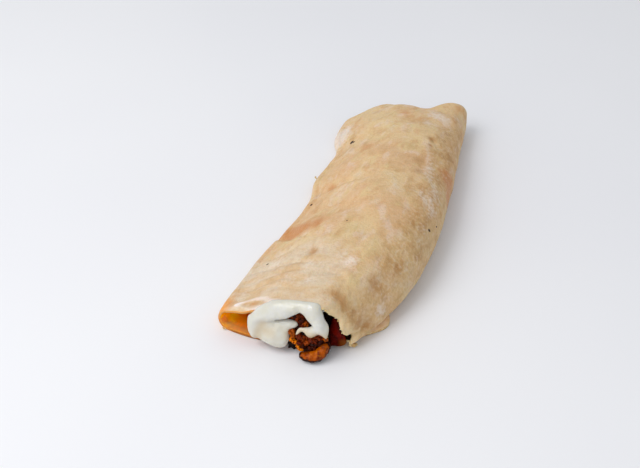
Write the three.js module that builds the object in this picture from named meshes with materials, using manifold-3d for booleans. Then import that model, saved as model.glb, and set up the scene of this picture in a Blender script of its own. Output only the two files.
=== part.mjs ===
// A paratha roll lying on its seam: one sheet of flatbread wound round a spiced filling, pressed flat,
// tucked shut at the far end and open at the mouth, where white sauce and pieces of filling spill out.
// Millimetres. X runs across the roll, Y along it from the mouth (-Y) to the far end (+Y), Z is up.
import * as THREE from "three";
import { mergeVertices } from "three/addons/utils/BufferGeometryUtils.js";
import Module from "manifold-3d";

const wasm = await Module();
wasm.setup();

const { lerp, smoothstep, clamp } = THREE.MathUtils;

// Driving dimensions of the sheet
const SHEET = 2.1; // thickness of the flatbread
const LAYER_GAP = 0.7; // air between two layers of it
const GAP = 0.3; // air between the pieces of the roll
const SLACK = 0.5; // and a little more where the top layer lies over the filling
const RIM_THIN = 0.6; // share of the thickness left at the sheet's own rim
const RIM_STEPS = 2; // facets over which it thins towards that rim
const END_ROUND = 6.5; // radius at which the top layer turns down at the far end
const END_SWELL = 0.15; // share of its height that it keeps at the very end
const TUCK_REACH = 0.36; // how far left the hidden inner end lies, as a share of the width
const FLAP_HIDDEN = -8; // the free edge lies this far under the right side
const FLAP_SHOWN = 1.2; // and peeps out this far near the mouth
const FLAP_PLACE = -86; // where along the roll it peeps out
const FLAP_SPAN = 11;

// Heights of the layers' middle surfaces
const OUTER_FLOOR = SHEET / 2;
const INNER_FLOOR = OUTER_FLOOR + SHEET + LAYER_GAP;
const CLOSED = INNER_FLOOR + SHEET + LAYER_GAP; // the top layer, where it is pressed shut at the far end
const STACK_TOP = INNER_FLOOR + SHEET / 2; // upper face of the two layers under the filling

// Outline from above and crown heights, measured at stations along the roll
const ALONG = [-104, -90, -72, -50, -25, 0, 25, 50, 72, 88, 106];
const LEFT_ALONG = [-104, -86, -66, -50, -31, -10, 3, 18, 36, 52, 62, 76, 88, 106];
const LEFT = spline(
  LEFT_ALONG,
  [-41.2, -40.8, -39.4, -38.2, -34.8, -32.3, -32.3, -35.3, -33.9, -33.6, -38.2, -39.8, -38.5, -34],
);
const RIGHT_ALONG = [-104, -97, -90, -81, -72, -60, -50, -25, 0, 25, 50, 72, 88, 106];
const RIGHT = spline(
  RIGHT_ALONG,
  [19, 22.6, 25.6, 29.6, 32.9, 36.5, 38.5, 40.2, 39.5, 37.8, 35.5, 33, 31.8, 29.4],
);
const CROWN = spline(ALONG, [26.5, 28, 29.5, 30.5, 30.5, 30, 28.5, 26.5, 24, 21.5, 19]);
const CROWN_AT = spline(ALONG, [0.84, 0.785, 0.7, 0.64, 0.62, 0.62, 0.61, 0.6, 0.61, 0.66, 0.86]);
const SIDE_STEEP = spline(ALONG, [1.15, 1.5, 2, 2.4, 2.5, 2.5, 2.5, 2.5, 2.6, 3.4, 6]); // of the right side
// Half the height of the left fold, and the height at which the right side is widest
const LEFT_FOLD = spline(ALONG, [4.2, 4, 3.6, 3.3, 3, 3, 2.9, 2.8, 2.8, 2.8, 2.8]);
const RIGHT_EDGE = spline(ALONG, [7.2, 7.6, 9, 10.3, 10, 9.5, 9, 8.5, 8, 7.8, 7.6]);

// Edges of the sheet at the mouth, above and on the floor, and at the far end, at even steps from the left
// side to the right
const LIP_EDGE = evenSpline([-98.5, -103.2, -103.5, -102.3, -102.8, -99.5]);
const FLOOR_EDGE = evenSpline([-100, -102.3, -102.5, -99.5, -95, -94]);
const FAR_EDGE = evenSpline([86, 103.5, 98, 96.5, 103, 106]);

// Broad puffs and dents of the top layer: place across, place along, height, reach
const PUFFS = [
  { across: 0.3, along: -58, rise: 1.1, reach: 16 },
  { across: 0.33, along: -26, rise: -1.5, reach: 11 },
  { across: 0.18, along: -14, rise: -1.3, reach: 15 },
  { across: 0.52, along: -8, rise: 0.9, reach: 18 },
  { across: 0.8, along: -88, rise: 1.4, reach: 8 },
  { across: 0.66, along: -78, rise: -1.2, reach: 9 },
  { across: 0.35, along: 30, rise: 0.8, reach: 15 },
  { across: 0.85, along: 8, rise: -0.9, reach: 12 },
  { across: 0.72, along: 48, rise: 0.9, reach: 14 },
  { across: 0.68, along: 94, rise: -3, reach: 8 },
  { across: 0.95, along: 97, rise: 2.4, reach: 10 },
  { across: 0.3, along: 70, rise: -0.8, reach: 12 },
];
// Folds of the top layer, which drops behind a line: the line's ends in plan, from left to right, the drop, and
// how far it reaches behind the line and in front of it
const FOLDS = [
  { from: [-37, -37], to: [-21.5, -48.5], drop: 2.4, behind: 6, front: 2.5 },
  { from: [-21.5, -48.5], to: [-8, -41.5], drop: 1.8, behind: 6, front: 2.5 },
  { from: [-27, 3], to: [-1, -1], drop: 1, behind: 4.5, front: 2.5 },
];
const FOLD_ENDS = [0.15, 0.85]; // the part of a half wave that a drop follows from end to end
// Fine waves all over the top layer: their height, and how fast each one turns along the roll and across it
const RIPPLE = 0.2;
const RIPPLES = [
  { along: 0.17, across: 9, start: 0 },
  { along: 0.29, across: -17, start: 1.3 },
];
const BROAD = 70; // a usual width of the roll, to set distances across against those along
const SIDE_FULL = 1.18; // fullness of the right side's curve
const EDGE_CROWDING = 0.45; // how far the facets of the top crowd towards the right side

// Facets: steps round each stretch of the wound sheet, and rows along it
const FLOOR_STEPS = 7;
const LEFT_STEPS = 6;
const TOP_STEPS = 23;
const RIGHT_STEPS = 6;
const TUCK_STEPS = 4;
const ROUND_STEPS = FLOOR_STEPS + LEFT_STEPS + TOP_STEPS + RIGHT_STEPS + TUCK_STEPS;
const BODY_ROWS = 35;
const END_ROWS = 5;
const MOUTH_CLOSER = 1.2; // over 1, the rows crowd towards the mouth
const ROWS = BODY_ROWS + END_ROWS;

// The filling, between shares of the width and of the length
const POCKET_SHARE = 0.36; // the left part of the mouth, left empty
const POCKET_DEPTH = 0.13; // share of the length over which the filling widens to the left fold
const CORE_ACROSS = [0.14, 0.93];
const CORE_ALONG = [0.03, 0.92];
const CORE_LEAST = 1; // its least height, at its thin edges
const CORE_FACETS = [10, 16];

// Pieces of filling that show in the mouth and tumble out of it: place and half size
const PIECES = [
  [[-3.6, -104.6, 11], [1.3, 1.3, 2]],
  [[-3.6, -104.6, 7.6], [0.9, 0.9, 1.1]],
  [[-0.8, -105, 4.3], [0.9, 0.9, 1]],
  [[-0.4, -104.4, 9.4], [1.6, 1.4, 1.7]],
  [[1.6, -104.2, 9.6], [1.1, 1.1, 1.4]],
  [[2.3, -103.4, 11.4], [1.7, 1.5, 1.8]],
  [[5.2, -104.4, 10], [2.2, 1.5, 1.4]],
  [[8, -104.2, 11.6], [2.3, 1.4, 1.4]],
  [[9.8, -103.6, 13], [1.3, 1.2, 1.2]],
  [[0, -105, 6.4], [1.3, 1.2, 1.3]],
  [[2.9, -104.9, 7], [1.3, 1.1, 1.2]],
  [[6.2, -103.6, 6.4], [2.6, 2, 2.2]],
  [[3.6, -104.6, 3.4], [2, 1.6, 1.9]],
  [[9.2, -103, 8.4], [2.4, 2, 2.2]],
  [[11, -102.6, 5], [1.8, 1.6, 2.4]],
  [[-2.6, -100.6, 16.4], [2.4, 1.6, 2]],
  [[0.2, -100.2, 18.2], [2, 1.6, 1.8]],
  [[1.8, -101.4, 15], [1.6, 1.2, 1.1]],
  [[-6, -101, 15.2], [1.8, 1.4, 1.3]],
];
const CRAGS = 0.35; // how unevenly a piece stands out, as a share of its half size
// The heap behind them, and a flat piece that stands at the right of the mouth: its outline as places across and
// heights, its place along and its thickness
const SPILL = { points: [[2, -94, 11.4], [2, -98.5, 10.4], [2, -100.5, 7]], radii: [6.4, 6.4, 4.6] };
const STRIP = [
  [12.6, 18], [14.8, 16.4], [16.2, 12.6], [17.8, 9], [18.6, 5], [18, 2.8], [14.7, 1.4], [10.4, 1], [10.3, 6],
  [10.7, 12], [11.5, 16],
];
const STRIP_PLACE = -97.2;
const STRIP_THICK = 2.4;
const STRIP_BOX = { min: [9, -100, 0], max: [20, -94, 19] };
const STRIP_FACET = 1.1;

// The ribbon of sauce that runs through the roll on top of the filling
const RIBBON_ACROSS = [0.4, 0.78];
const RIBBON_FULL = [0.5, 0.68]; // where across it has its whole depth
const RIBBON_ALONG = [0.006, 0.84];
const RIBBON_FADE = 0.55; // where along it begins to thin out
const RIBBON_DEPTH = 3;
const RIBBON_RIM = 0.4; // how thick it still is at its edges
const RIBBON_FACETS = [6, 16];

// The sauce that hangs out of the mouth: a band under the lip with a drip and an arm, and a body below its left
// part, as outlines of places across and heights on a plane that leans into the mouth
const BAND = [
  [-23.5, 15.5], [-20.5, 19], [-17, 22], [-13.5, 24.8], [-6, 27], [2.5, 28], [7.5, 28], [9, 26.5], [10, 23.5],
  [10.5, 21.5], [12.5, 18.5], [12.5, 15.5], [12, 12.5], [11, 12.5], [10, 13.5], [9, 14], [7, 12.5], [5.5, 11.5],
  [4, 11.5], [2.5, 13], [1.5, 13.5], [-0.5, 11.5], [-1.5, 10], [-2, 11.5], [-1.5, 13.5], [-0.5, 15.5], [1.5, 16],
  [4, 16.5], [5.5, 17.5], [4, 18.5], [2, 19], [1.5, 20], [0, 21], [-2.5, 19.5], [-5, 18], [-8, 17], [-12, 15.5],
  [-18, 12], [-22.5, 12],
];
const BODY = [
  [-24, 15.5], [-24, 12], [-23.5, 8], [-22.5, 5.5], [-21, 4.5], [-18.5, 5], [-17, 4.5], [-14.5, 4], [-12.5, 3.5],
  [-11, 3], [-7.5, 3], [-5.5, 4.5], [-4.5, 7], [-4.8, 11], [-3.8, 12.6], [-1.8, 13.2], [-0.8, 14.6], [-1, 17],
  [-3.5, 18], [-8, 18], [-14, 19], [-20, 18],
];
const DRAPE_FOOT = -107; // where along the roll that plane stands, at a height
const DRAPE_FOOT_HEIGHT = 4;
const DRAPE_LEAN = 0.25;
const BAND_THICK = 6.4;
const BODY_THICK = 5;
const DRAPE_BOX = { min: [-26, -113, 0], max: [15, -95, 30] };
const DRAPE_FACET = 2;
const BODY_BACK = [0.2, 2.4]; // how far the body lies behind the plane, below and above these heights
const BODY_BACK_HEIGHTS = [4, 15];
const BODY_BACK_FROM = [-18, -10]; // and from where across

// A crescent of filling that has dropped out in front of the mouth
const FALLEN = {
  points: [
    [1.8, -106.8, 2], [3.4, -107.9, 2.4], [6.2, -108, 2.6], [8.8, -106.9, 3.4], [10.6, -105.4, 5.2], [11.2, -104.6, 7],
  ],
  radii: [1.7, 2.2, 2.5, 2.6, 2.4, 1.9],
};
const EASE = 0.12; // the most that the facets of the sauce and the filling are eased
const STRAND_STEPS = 2; // facets along a strand for each of its points
const STRAND_SIDES = 10;

function spline(places, values) {
  const line = new THREE.CubicInterpolant(places, values, 1);
  return (at) => line.evaluate(clamp(at, places[0], places.at(-1)))[0];
}

const curve = (points) => new THREE.CatmullRomCurve3(points.map((p) => new THREE.Vector3(...p)));

function evenSpline(values) {
  return spline(values.map((_, i) => i / (values.length - 1)), values);
}

// A repeatable stream of numbers from 0 to 1.
function seeded(seed) {
  let state = seed;
  return () => {
    state = (state * 1664525 + 1013904223) % 4294967296;
    return state / 4294967296;
  };
}

const LENGTH = FAR_EDGE(0.5) - LIP_EDGE(0.5);
const END_PLACE = 1 - END_ROUND / LENGTH; // share of the length at which the far end begins to close

// Share of the length at a row: closer steps at the mouth, then steps of a quarter turn round the far end.
function rowPlace(row) {
  if (row <= BODY_ROWS) return END_PLACE * (row / BODY_ROWS) ** MOUTH_CLOSER;
  return lerp(END_PLACE, 1, Math.sin(((row - BODY_ROWS) / END_ROWS) * (Math.PI / 2)));
}

// How far up the top layer stands there: 1 along the roll, next to nothing at the very end.
function standing(place) {
  const past = Math.max(0, (place - END_PLACE) / (1 - END_PLACE));
  return lerp(END_SWELL, 1, Math.sqrt(Math.max(0, 1 - past * past)));
}

// Where along the roll a share of the length lies; low tells how far the mouth's edge there is the one on the floor.
function alongAt(across, place, low = 0) {
  const inside = clamp(across, 0, 1);
  return lerp(lerp(LIP_EDGE(inside), FLOOR_EDGE(inside), low), FAR_EDGE(inside), place);
}

const acrossAt = (across, y) => lerp(LEFT(y) + SHEET / 2, RIGHT(y) - SHEET / 2, across);

// A point of the roll from its share across, its share along and its height.
function plan(across, place, height, low) {
  const y = alongAt(across, place, low);
  return new THREE.Vector3(acrossAt(across, y), y, height);
}

// The top layer's rise from its edges to its crown: a long slope on the left, a steep side on the right.
function hump(across, crownAt, steep) {
  if (across <= crownAt) return Math.sin(((across / crownAt) * Math.PI) / 2);
  const out = (across - crownAt) / (1 - crownAt);
  return Math.max(0, 1 - out ** steep) ** (SIDE_FULL / steep);
}

function relief(across, y) {
  const waves = RIPPLES.map((r) => RIPPLE * Math.sin(y * r.along + across * r.across + r.start));
  const dents = PUFFS.map((p) => {
    const apart = Math.hypot((across - p.across) * BROAD, y - p.along) / p.reach;
    return p.rise * Math.exp(-apart * apart);
  });
  return [...waves, ...dents].reduce((sum, h) => sum + h, 0);
}

// How far the top layer drops behind its folds.
function foldDrop(x, y) {
  const drops = FOLDS.map((fold) => {
    const way = new THREE.Vector2(...fold.to).sub(new THREE.Vector2(...fold.from));
    const past = new THREE.Vector2(x, y).sub(new THREE.Vector2(...fold.from));
    const share = clamp(past.dot(way) / way.lengthSq(), 0, 1);
    const reach = way.cross(past) > 0 ? fold.behind : fold.front;
    const apart = past.addScaledVector(way, -share).length() / reach;
    return fold.drop * Math.sin(Math.PI * lerp(...FOLD_ENDS, share)) * Math.exp(-apart * apart);
  });
  return drops.reduce((sum, d) => sum + d, 0);
}

// The wound sheet's middle line at one place along the roll, from its free edge under the right side,
// left along the floor, round the left fold, over the top and round the right side to its hidden inner end.
function windings(place) {
  const y = alongAt(0.5, place);
  const width = RIGHT(y) - LEFT(y) - SHEET;
  const up = standing(place);
  const leftFold = lerp((CLOSED - OUTER_FLOOR) / 2, LEFT_FOLD(y), up);
  const leftTop = OUTER_FLOOR + 2 * leftFold;
  const rightEdge = lerp(CLOSED, RIGHT_EDGE(y), up);
  const rightRound = rightEdge - INNER_FLOOR;
  const crown = CROWN(y) - SHEET / 2;
  const crownAt = CROWN_AT(y);
  const steep = SIDE_STEEP(y);
  const shown = Math.exp(-(((y - FLAP_PLACE) / FLAP_SPAN) ** 2));
  const freeEdge = 1 + lerp(FLAP_HIDDEN, FLAP_SHOWN, shown) / width;
  const line = [];
  for (let i = 0; i <= FLOOR_STEPS; i++) {
    line.push([lerp(freeEdge, leftFold / width, i / FLOOR_STEPS), OUTER_FLOOR]);
  }
  for (let i = 1; i <= LEFT_STEPS; i++) {
    const turn = (i / LEFT_STEPS) * Math.PI;
    const out = (leftFold * (1 - Math.sin(turn))) / width;
    line.push([out, OUTER_FLOOR + leftFold * (1 - Math.cos(turn))]);
  }
  for (let i = 1; i <= TOP_STEPS; i++) {
    const even = i / TOP_STEPS;
    const share = lerp(even, Math.sin((even * Math.PI) / 2), EDGE_CROWDING);
    const across = lerp(leftFold / width, 1, share);
    const edge = lerp(leftTop, rightEdge, share);
    const swell = Math.sin(share * Math.PI) ** 0.5;
    const uneven = relief(across, y) - foldDrop(acrossAt(across, y), y);
    const height = edge + (crown - edge) * hump(share, crownAt, steep) * up + uneven * swell * up;
    line.push([across, height]);
  }
  for (let i = 1; i <= RIGHT_STEPS; i++) {
    const turn = ((i / RIGHT_STEPS) * Math.PI) / 2;
    line.push([1 - (rightRound * (1 - Math.cos(turn))) / width, rightEdge - rightRound * Math.sin(turn)]);
  }
  for (let i = 1; i <= TUCK_STEPS; i++) {
    line.push([lerp(1 - rightRound / width, TUCK_REACH, i / TUCK_STEPS), INNER_FLOOR]);
  }
  return line;
}

// How far the mouth's edge at a step round the sheet is the one on the floor: on the floor itself, half round the
// left fold, and again round the right side.
function lowAt(i) {
  const rightStart = FLOOR_STEPS + LEFT_STEPS + TOP_STEPS;
  const left = 1 - smoothstep(i, FLOOR_STEPS, FLOOR_STEPS + LEFT_STEPS);
  return left + smoothstep(i, rightStart, rightStart + RIGHT_STEPS);
}

// The sheet's middle surface as rows of points, and its outward normals.
const MIDDLE = Array.from({ length: ROWS + 1 }, (_, row) => {
  const place = rowPlace(row);
  return windings(place).map(([across, height], i) => plan(across, place, height, lowAt(i)));
});
const OUTWARD = MIDDLE.map((line, row) =>
  line.map((_, i) => {
    const round = MIDDLE[row][Math.min(i + 1, ROUND_STEPS)].clone().sub(MIDDLE[row][Math.max(i - 1, 0)]);
    const along = MIDDLE[Math.min(row + 1, ROWS)][i].clone().sub(MIDDLE[Math.max(row - 1, 0)][i]);
    return round.cross(along).normalize();
  }),
);

// A box of facets, bent into shape by a function of its three shares from 0 to 1.
function bentBox(across, along, deep, bend) {
  const box = new THREE.BoxGeometry(1, 1, 1, across, along, deep);
  box.deleteAttribute("normal");
  box.deleteAttribute("uv");
  const geometry = mergeVertices(box);
  const position = geometry.attributes.position;
  const corner = new THREE.Vector3();
  for (let i = 0; i < position.count; i++) {
    corner.fromBufferAttribute(position, i).addScalar(0.5);
    position.setXYZ(i, ...bend(corner.x, corner.y, corner.z));
  }
  return geometry;
}

// The way out of the sheet at a place on its rim.
function pastRim(i, row) {
  const here = MIDDLE[row][i];
  const past = new THREE.Vector3();
  if (row === 0) past.add(here).sub(MIDDLE[1][i]);
  if (row === ROWS) past.add(here).sub(MIDDLE[ROWS - 1][i]);
  if (i === 0) past.add(here).sub(MIDDLE[row][1]);
  if (i === ROUND_STEPS) past.add(here).sub(MIDDLE[row][ROUND_STEPS - 1]);
  return past.normalize();
}

// The flatbread: a flat slab wound up along the middle surface. Grown, it is the room that it takes.
function sheetGeometry(grow = 0) {
  return bentBox(ROUND_STEPS, ROWS, 1, (u, v, w) => {
    const i = Math.round(u * ROUND_STEPS);
    const row = Math.round(v * ROWS);
    const rim = Math.min(i, ROUND_STEPS - i, row, ROWS - row);
    const thick = SHEET * lerp(RIM_THIN, 1, clamp(rim / RIM_STEPS, 0, 1)) + 2 * grow;
    const face = MIDDLE[row][i].clone().addScaledVector(OUTWARD[row][i], thick * (w - 0.5));
    return face.addScaledVector(pastRim(i, row), grow);
  });
}

// A point under the top layer, a given depth below its inner face.
function underTop(share, place, depth) {
  const first = FLOOR_STEPS + LEFT_STEPS;
  const i = first + share * TOP_STEPS;
  const row = (place / END_PLACE) ** (1 / MOUTH_CLOSER) * BODY_ROWS;
  const at = (grid) => {
    const i0 = Math.floor(i);
    const r0 = clamp(Math.floor(row), 0, ROWS - 1);
    const a = grid[r0][i0].clone().lerp(grid[r0][Math.min(i0 + 1, ROUND_STEPS)], i - i0);
    const b = grid[r0 + 1][i0].clone().lerp(grid[r0 + 1][Math.min(i0 + 1, ROUND_STEPS)], i - i0);
    return a.lerp(b, row - r0);
  };
  return at(MIDDLE).addScaledVector(at(OUTWARD).normalize(), -(SHEET / 2 + GAP + SLACK + depth));
}

// How deep the sauce lies on the filling.
function ribbonDepth(share, place) {
  const leftSide = smoothstep(share, RIBBON_ACROSS[0], RIBBON_FULL[0]);
  const rightSide = 1 - smoothstep(share, RIBBON_FULL[1], RIBBON_ACROSS[1]);
  return RIBBON_DEPTH * leftSide * rightSide * (1 - smoothstep(place, RIBBON_FADE, RIBBON_ALONG[1]));
}

// The filling under the top layer, with room for the sauce on it.
function coreGeometry() {
  return bentBox(...CORE_FACETS, 1, (u, v, w) => {
    const place = lerp(...CORE_ALONG, v);
    const left = lerp(POCKET_SHARE, CORE_ACROSS[0], smoothstep(place, 0, POCKET_DEPTH));
    const share = lerp(left, CORE_ACROSS[1], u);
    const top = underTop(share, place, ribbonDepth(share, place));
    const floor = STACK_TOP + GAP + SLACK;
    return new THREE.Vector3(top.x, top.y, lerp(floor, Math.max(top.z, floor + CORE_LEAST), w));
  });
}

// The sauce on top of the filling, a ribbon with thin edges.
function ribbonGeometry(grow = 0) {
  return bentBox(...RIBBON_FACETS, 1, (u, v, w) => {
    const share = lerp(...RIBBON_ACROSS, u);
    const place = lerp(...RIBBON_ALONG, v);
    const point = underTop(share, place, lerp(ribbonDepth(share, place) + RIBBON_RIM + grow, -grow, w));
    point.x += grow * (2 * u - 1);
    point.y += grow * (2 * v - 1);
    return point;
  });
}

// A rounded strand along a smooth line, with a radius for each of its points.
function strandGeometry({ points, radii }, grow = 0) {
  const line = curve(points);
  const radius = evenSpline(radii);
  const steps = STRAND_STEPS * points.length;
  const frames = line.computeFrenetFrames(steps);
  const capsule = new THREE.CapsuleGeometry(1, steps, STRAND_STEPS, STRAND_SIDES, steps);
  capsule.deleteAttribute("normal");
  capsule.deleteAttribute("uv");
  const geometry = mergeVertices(capsule);
  const position = geometry.attributes.position;
  for (let i = 0; i < position.count; i++) {
    const run = clamp(position.getY(i) + steps / 2, 0, steps);
    const step = Math.round(run);
    const share = run / steps;
    const thick = radius(share) + grow;
    const point = line.getPoint(share);
    point.addScaledVector(frames.tangents[step], (position.getY(i) + steps / 2 - run) * thick);
    point.addScaledVector(frames.normals[step], position.getX(i) * thick);
    point.addScaledVector(frames.binormals[step], -position.getZ(i) * thick);
    position.setXYZ(i, ...point);
  }
  return geometry;
}

// How far inside a closed outline a spot lies, below nothing outside it.
function depthInside(outline, x, height) {
  let nearest = Infinity;
  let inside = false;
  outline.forEach(([ax, az], i) => {
    const [bx, bz] = outline[(i + 1) % outline.length];
    const run = (x - ax) * (bx - ax) + (height - az) * (bz - az);
    const share = clamp(run / ((bx - ax) ** 2 + (bz - az) ** 2), 0, 1);
    nearest = Math.min(nearest, Math.hypot(x - lerp(ax, bx, share), height - lerp(az, bz, share)));
    if (az > height !== bz > height && x < ax + ((height - az) / (bz - az)) * (bx - ax)) inside = !inside;
  });
  return inside ? nearest : -nearest;
}

// How far inside a slab with round edges a point lies: an outline of places across and heights, a thickness and a
// function that tells where along the roll the slab's middle is.
function insideSlab(outline, thick, place, [x, y, height]) {
  const round = thick / 2;
  const edge = Math.max(0, round - depthInside(outline, x, height));
  return round - Math.hypot(edge, y - place(x, height));
}

// The solid of all points that lie inside by a function, within a box.
function moulded(inside, box, facet, grow = 0) {
  return wasm.Manifold.levelSet(inside, box, facet, -grow);
}

// Where along the roll the band of sauce lies at a height, and the body, which is set back under the band.
const bandPlace = (x, height) => DRAPE_FOOT + DRAPE_LEAN * (height - DRAPE_FOOT_HEIGHT);

function bodyPlace(x, height) {
  const back = lerp(...BODY_BACK, smoothstep(height, ...BODY_BACK_HEIGHTS));
  return bandPlace(x, height) + back * smoothstep(x, ...BODY_BACK_FROM);
}

// A craggy piece of filling.
function pieceGeometry(random, centre, halves) {
  const lump = new THREE.IcosahedronGeometry(1, 1);
  lump.deleteAttribute("normal");
  lump.deleteAttribute("uv");
  const geometry = mergeVertices(lump);
  const position = geometry.attributes.position;
  for (let i = 0; i < position.count; i++) {
    const out = 1 + CRAGS * (random() - 0.5);
    position.setXYZ(i, position.getX(i) * out, position.getY(i) * out, position.getZ(i) * out);
  }
  return geometry.scale(...halves).translate(...centre);
}

// The filling that shows: the heap in the mouth, its loose pieces and the flat piece beside them.
function spill() {
  const random = seeded(7);
  const pieces = PIECES.map(([centre, halves]) => pieceGeometry(random, centre, halves));
  const strip = moulded((point) => insideSlab(STRIP, STRIP_THICK, () => STRIP_PLACE, point), STRIP_BOX, STRIP_FACET);
  return joined([strandGeometry(SPILL), ...pieces]).add(strip);
}

function solid(geometry) {
  return new wasm.Manifold(
    new wasm.Mesh({
      numProp: 3,
      vertProperties: new Float32Array(geometry.attributes.position.array),
      triVerts: new Uint32Array(geometry.index.array),
    }),
  );
}

const joined = (geometries) => geometries.map(solid).reduce((all, one) => all.add(one));

// The largest body of a cut solid, without its loose scraps.
function largest(cut) {
  return cut.decompose().reduce((best, body) => (body.volume() > best.volume() ? body : best));
}

function geometryOf(body) {
  const { vertProperties, triVerts } = body.getMesh();
  const geometry = new THREE.BufferGeometry();
  geometry.setAttribute("position", new THREE.BufferAttribute(vertProperties, 3));
  geometry.setIndex(new THREE.BufferAttribute(triVerts, 1));
  return geometry;
}

function piece(name, geometry, color, roughness) {
  const shown = geometry.toNonIndexed();
  shown.computeVertexNormals();
  const mesh = new THREE.Mesh(shown, new THREE.MeshStandardMaterial({ color, roughness, metalness: 0 }));
  mesh.name = name;
  return mesh;
}

function sauceSolid(grow = 0) {
  const drape = (point) =>
    Math.max(insideSlab(BAND, BAND_THICK, bandPlace, point), insideSlab(BODY, BODY_THICK, bodyPlace, point));
  return moulded(drape, DRAPE_BOX, DRAPE_FACET, grow).add(solid(ribbonGeometry(grow)));
}

// Each piece gives way to the ones before it, with a gap.
const taken = solid(sheetGeometry(GAP)).add(solid(strandGeometry(FALLEN, GAP)));
const sauce = largest(sauceSolid().subtract(taken)).simplify(EASE);
const heap = solid(coreGeometry()).add(spill());
const filling = largest(heap.subtract(taken).subtract(sauceSolid(GAP))).simplify(EASE);

const roll = new THREE.Group();
roll.add(piece("paratha", sheetGeometry(), 0xd3b483, 0.75));
roll.add(piece("filling", geometryOf(filling), 0x6b2a10, 0.45));
roll.add(piece("sauce", geometryOf(sauce), 0xebe7d8, 0.3));
roll.add(piece("fallen_chunk", strandGeometry(FALLEN), 0xb8620f, 0.4));

// The origin is the middle of the underside.
const centre = new THREE.Box3().setFromObject(roll).getCenter(new THREE.Vector3());
roll.position.set(-centre.x, -centre.y, 0);

export default roll;
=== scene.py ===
import math
import random

import bmesh
import bpy
import numpy as np
from mathutils import Matrix, Vector, noise


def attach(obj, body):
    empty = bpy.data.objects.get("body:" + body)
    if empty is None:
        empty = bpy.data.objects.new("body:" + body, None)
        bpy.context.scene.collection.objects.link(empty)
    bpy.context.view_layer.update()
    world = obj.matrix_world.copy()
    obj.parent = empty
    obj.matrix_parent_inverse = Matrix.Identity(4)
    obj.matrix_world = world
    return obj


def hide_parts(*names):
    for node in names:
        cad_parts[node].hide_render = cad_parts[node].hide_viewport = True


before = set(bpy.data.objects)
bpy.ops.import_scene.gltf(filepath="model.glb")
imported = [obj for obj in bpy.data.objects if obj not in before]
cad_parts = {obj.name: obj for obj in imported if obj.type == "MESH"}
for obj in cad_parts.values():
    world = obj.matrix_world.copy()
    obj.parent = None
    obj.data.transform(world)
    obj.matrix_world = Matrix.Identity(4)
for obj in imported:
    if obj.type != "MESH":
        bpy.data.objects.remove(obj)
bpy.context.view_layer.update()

MM = 0.001
# Shift from the roll's own middle to the frame's origin, in millimetres
FRAME_SHIFT = np.array([0.4026, 2.061, 0.0])

# Camera, placed in the roll's own millimetres
CAMERA_PLACE = np.array([107.7, -400.8, 293.9])
CAMERA_AIM = np.array([-19.7, -18.7, 0.0])
LENS = 55.4
SENSOR = 36

# Floor, as half its side, sky and lamps: place and size in metres, power in watts
FLOOR_HALF = 3
SKY_COLOUR = (0.96, 0.98, 1.0, 1)
SKY_STRENGTH = 0.62
LAMPS = {
    "key": ((-0.55, -0.5, 0.95), 0.7, 6.2),
    "front": ((-0.4, -0.95, 0.3), 0.6, 1.6),
    "glint": ((-0.25, -0.75, 0.75), 0.06, 0.5),
}
# Small lamp below the camera that shines into the left corner of the mouth, on the sheet alone, in
# millimetres, watts and degrees
MOUTH_LAMP_PLACE = (117, -408, 193)
MOUTH_LAMP_AIM = (-34, -94, 2)
MOUTH_LAMP_POWER = 4.8
MOUTH_LAMP_CONE = 3.2
MOUTH_LAMP_SIZE = 10

# Sheet of flatbread, in millimetres: X across, Y along from the mouth, Z up
SHEET = 2.1
LAYER_GAP = 0.7
RIM_THIN = 0.6
END_ROUND = 6.5
END_SWELL = 0.15
TUCK_REACH = 0.36
FLAP_HIDDEN = -8
FLAP_SHOWN = 1.2
FLAP_PLACE = -86
FLAP_SPAN = 11
EDGE_CROWDING = 0.45
OUTER_FLOOR = SHEET / 2
INNER_FLOOR = OUTER_FLOOR + SHEET + LAYER_GAP
# Height to which the top layer is pressed down at the far end, which leaves slots between the layers
END_HEIGHT = INNER_FLOOR + SHEET + LAYER_GAP
ALONG = [-104, -90, -72, -50, -25, 0, 25, 50, 72, 88, 106]
RIGHT_ALONG = [-104, -97, -90, -81, -72, -60, -50, -25, 0, 25, 50, 72, 88, 106]
LEFT_ALONG = [-104, -86, -66, -50, -31, -10, 3, 18, 36, 52, 62, 76, 88, 106]
# Puffs and dents of the top layer: share across, place along, height, reach
PUFFS = [
    (0.3, -58, 1.1, 16), (0.33, -26, -1.5, 11), (0.18, -14, -1.3, 15), (0.52, -8, 0.9, 18),
    (0.8, -88, 1.4, 8), (0.66, -78, -1.2, 9), (0.35, 30, 0.8, 15), (0.85, 8, -0.9, 12),
    (0.72, 48, 0.9, 14), (0.68, 94, -3, 8), (0.95, 97, 2.4, 10), (0.3, 70, -0.8, 12),
]
RIPPLE = 0.2
# Millimetres across that a whole share stands for, round a puff
BROAD = 70
SIDE_FULL = 1.18

# Grid of the sheet: columns round it, rows along it, and the share of the columns that each stretch takes
ROUND = 200
ROWS = 236
STRETCHES = {
    "floor": (0, 0.09),
    "left": (0.09, 0.18),
    "top": (0.18, 0.86),
    "right": (0.86, 0.95),
    "tuck": (0.95, 1),
}
BODY_SHARE = 0.94
MOUTH_CLOSER = 1.15
# Shares round the sheet between which its top layer, its steep side and the torn lip begin and end
TOP_START = (0.1, 0.2)
SIDE_START = (0.62, 0.74)
SIDE_EASES = (0.78, 0.86)
TOP_END = (0.9, 0.96)
TORN_START = (0.64, 0.74)
TORN_END = (0.93, 0.97)
# How much later round the sheet the steep side starts near the mouth and near the far end, and where along
LATER_AT_MOUTH = 0.07
LATER_AT_MOUTH_ALONG = (-85, -60)
LATER_AT_END = 0.2
LATER_AT_END_ALONG = (60, 90)
# By what share the side's browning eases off towards its foot, a painted lightening that evens out the
# shade there
SIDE_EASE = 0.5
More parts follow.
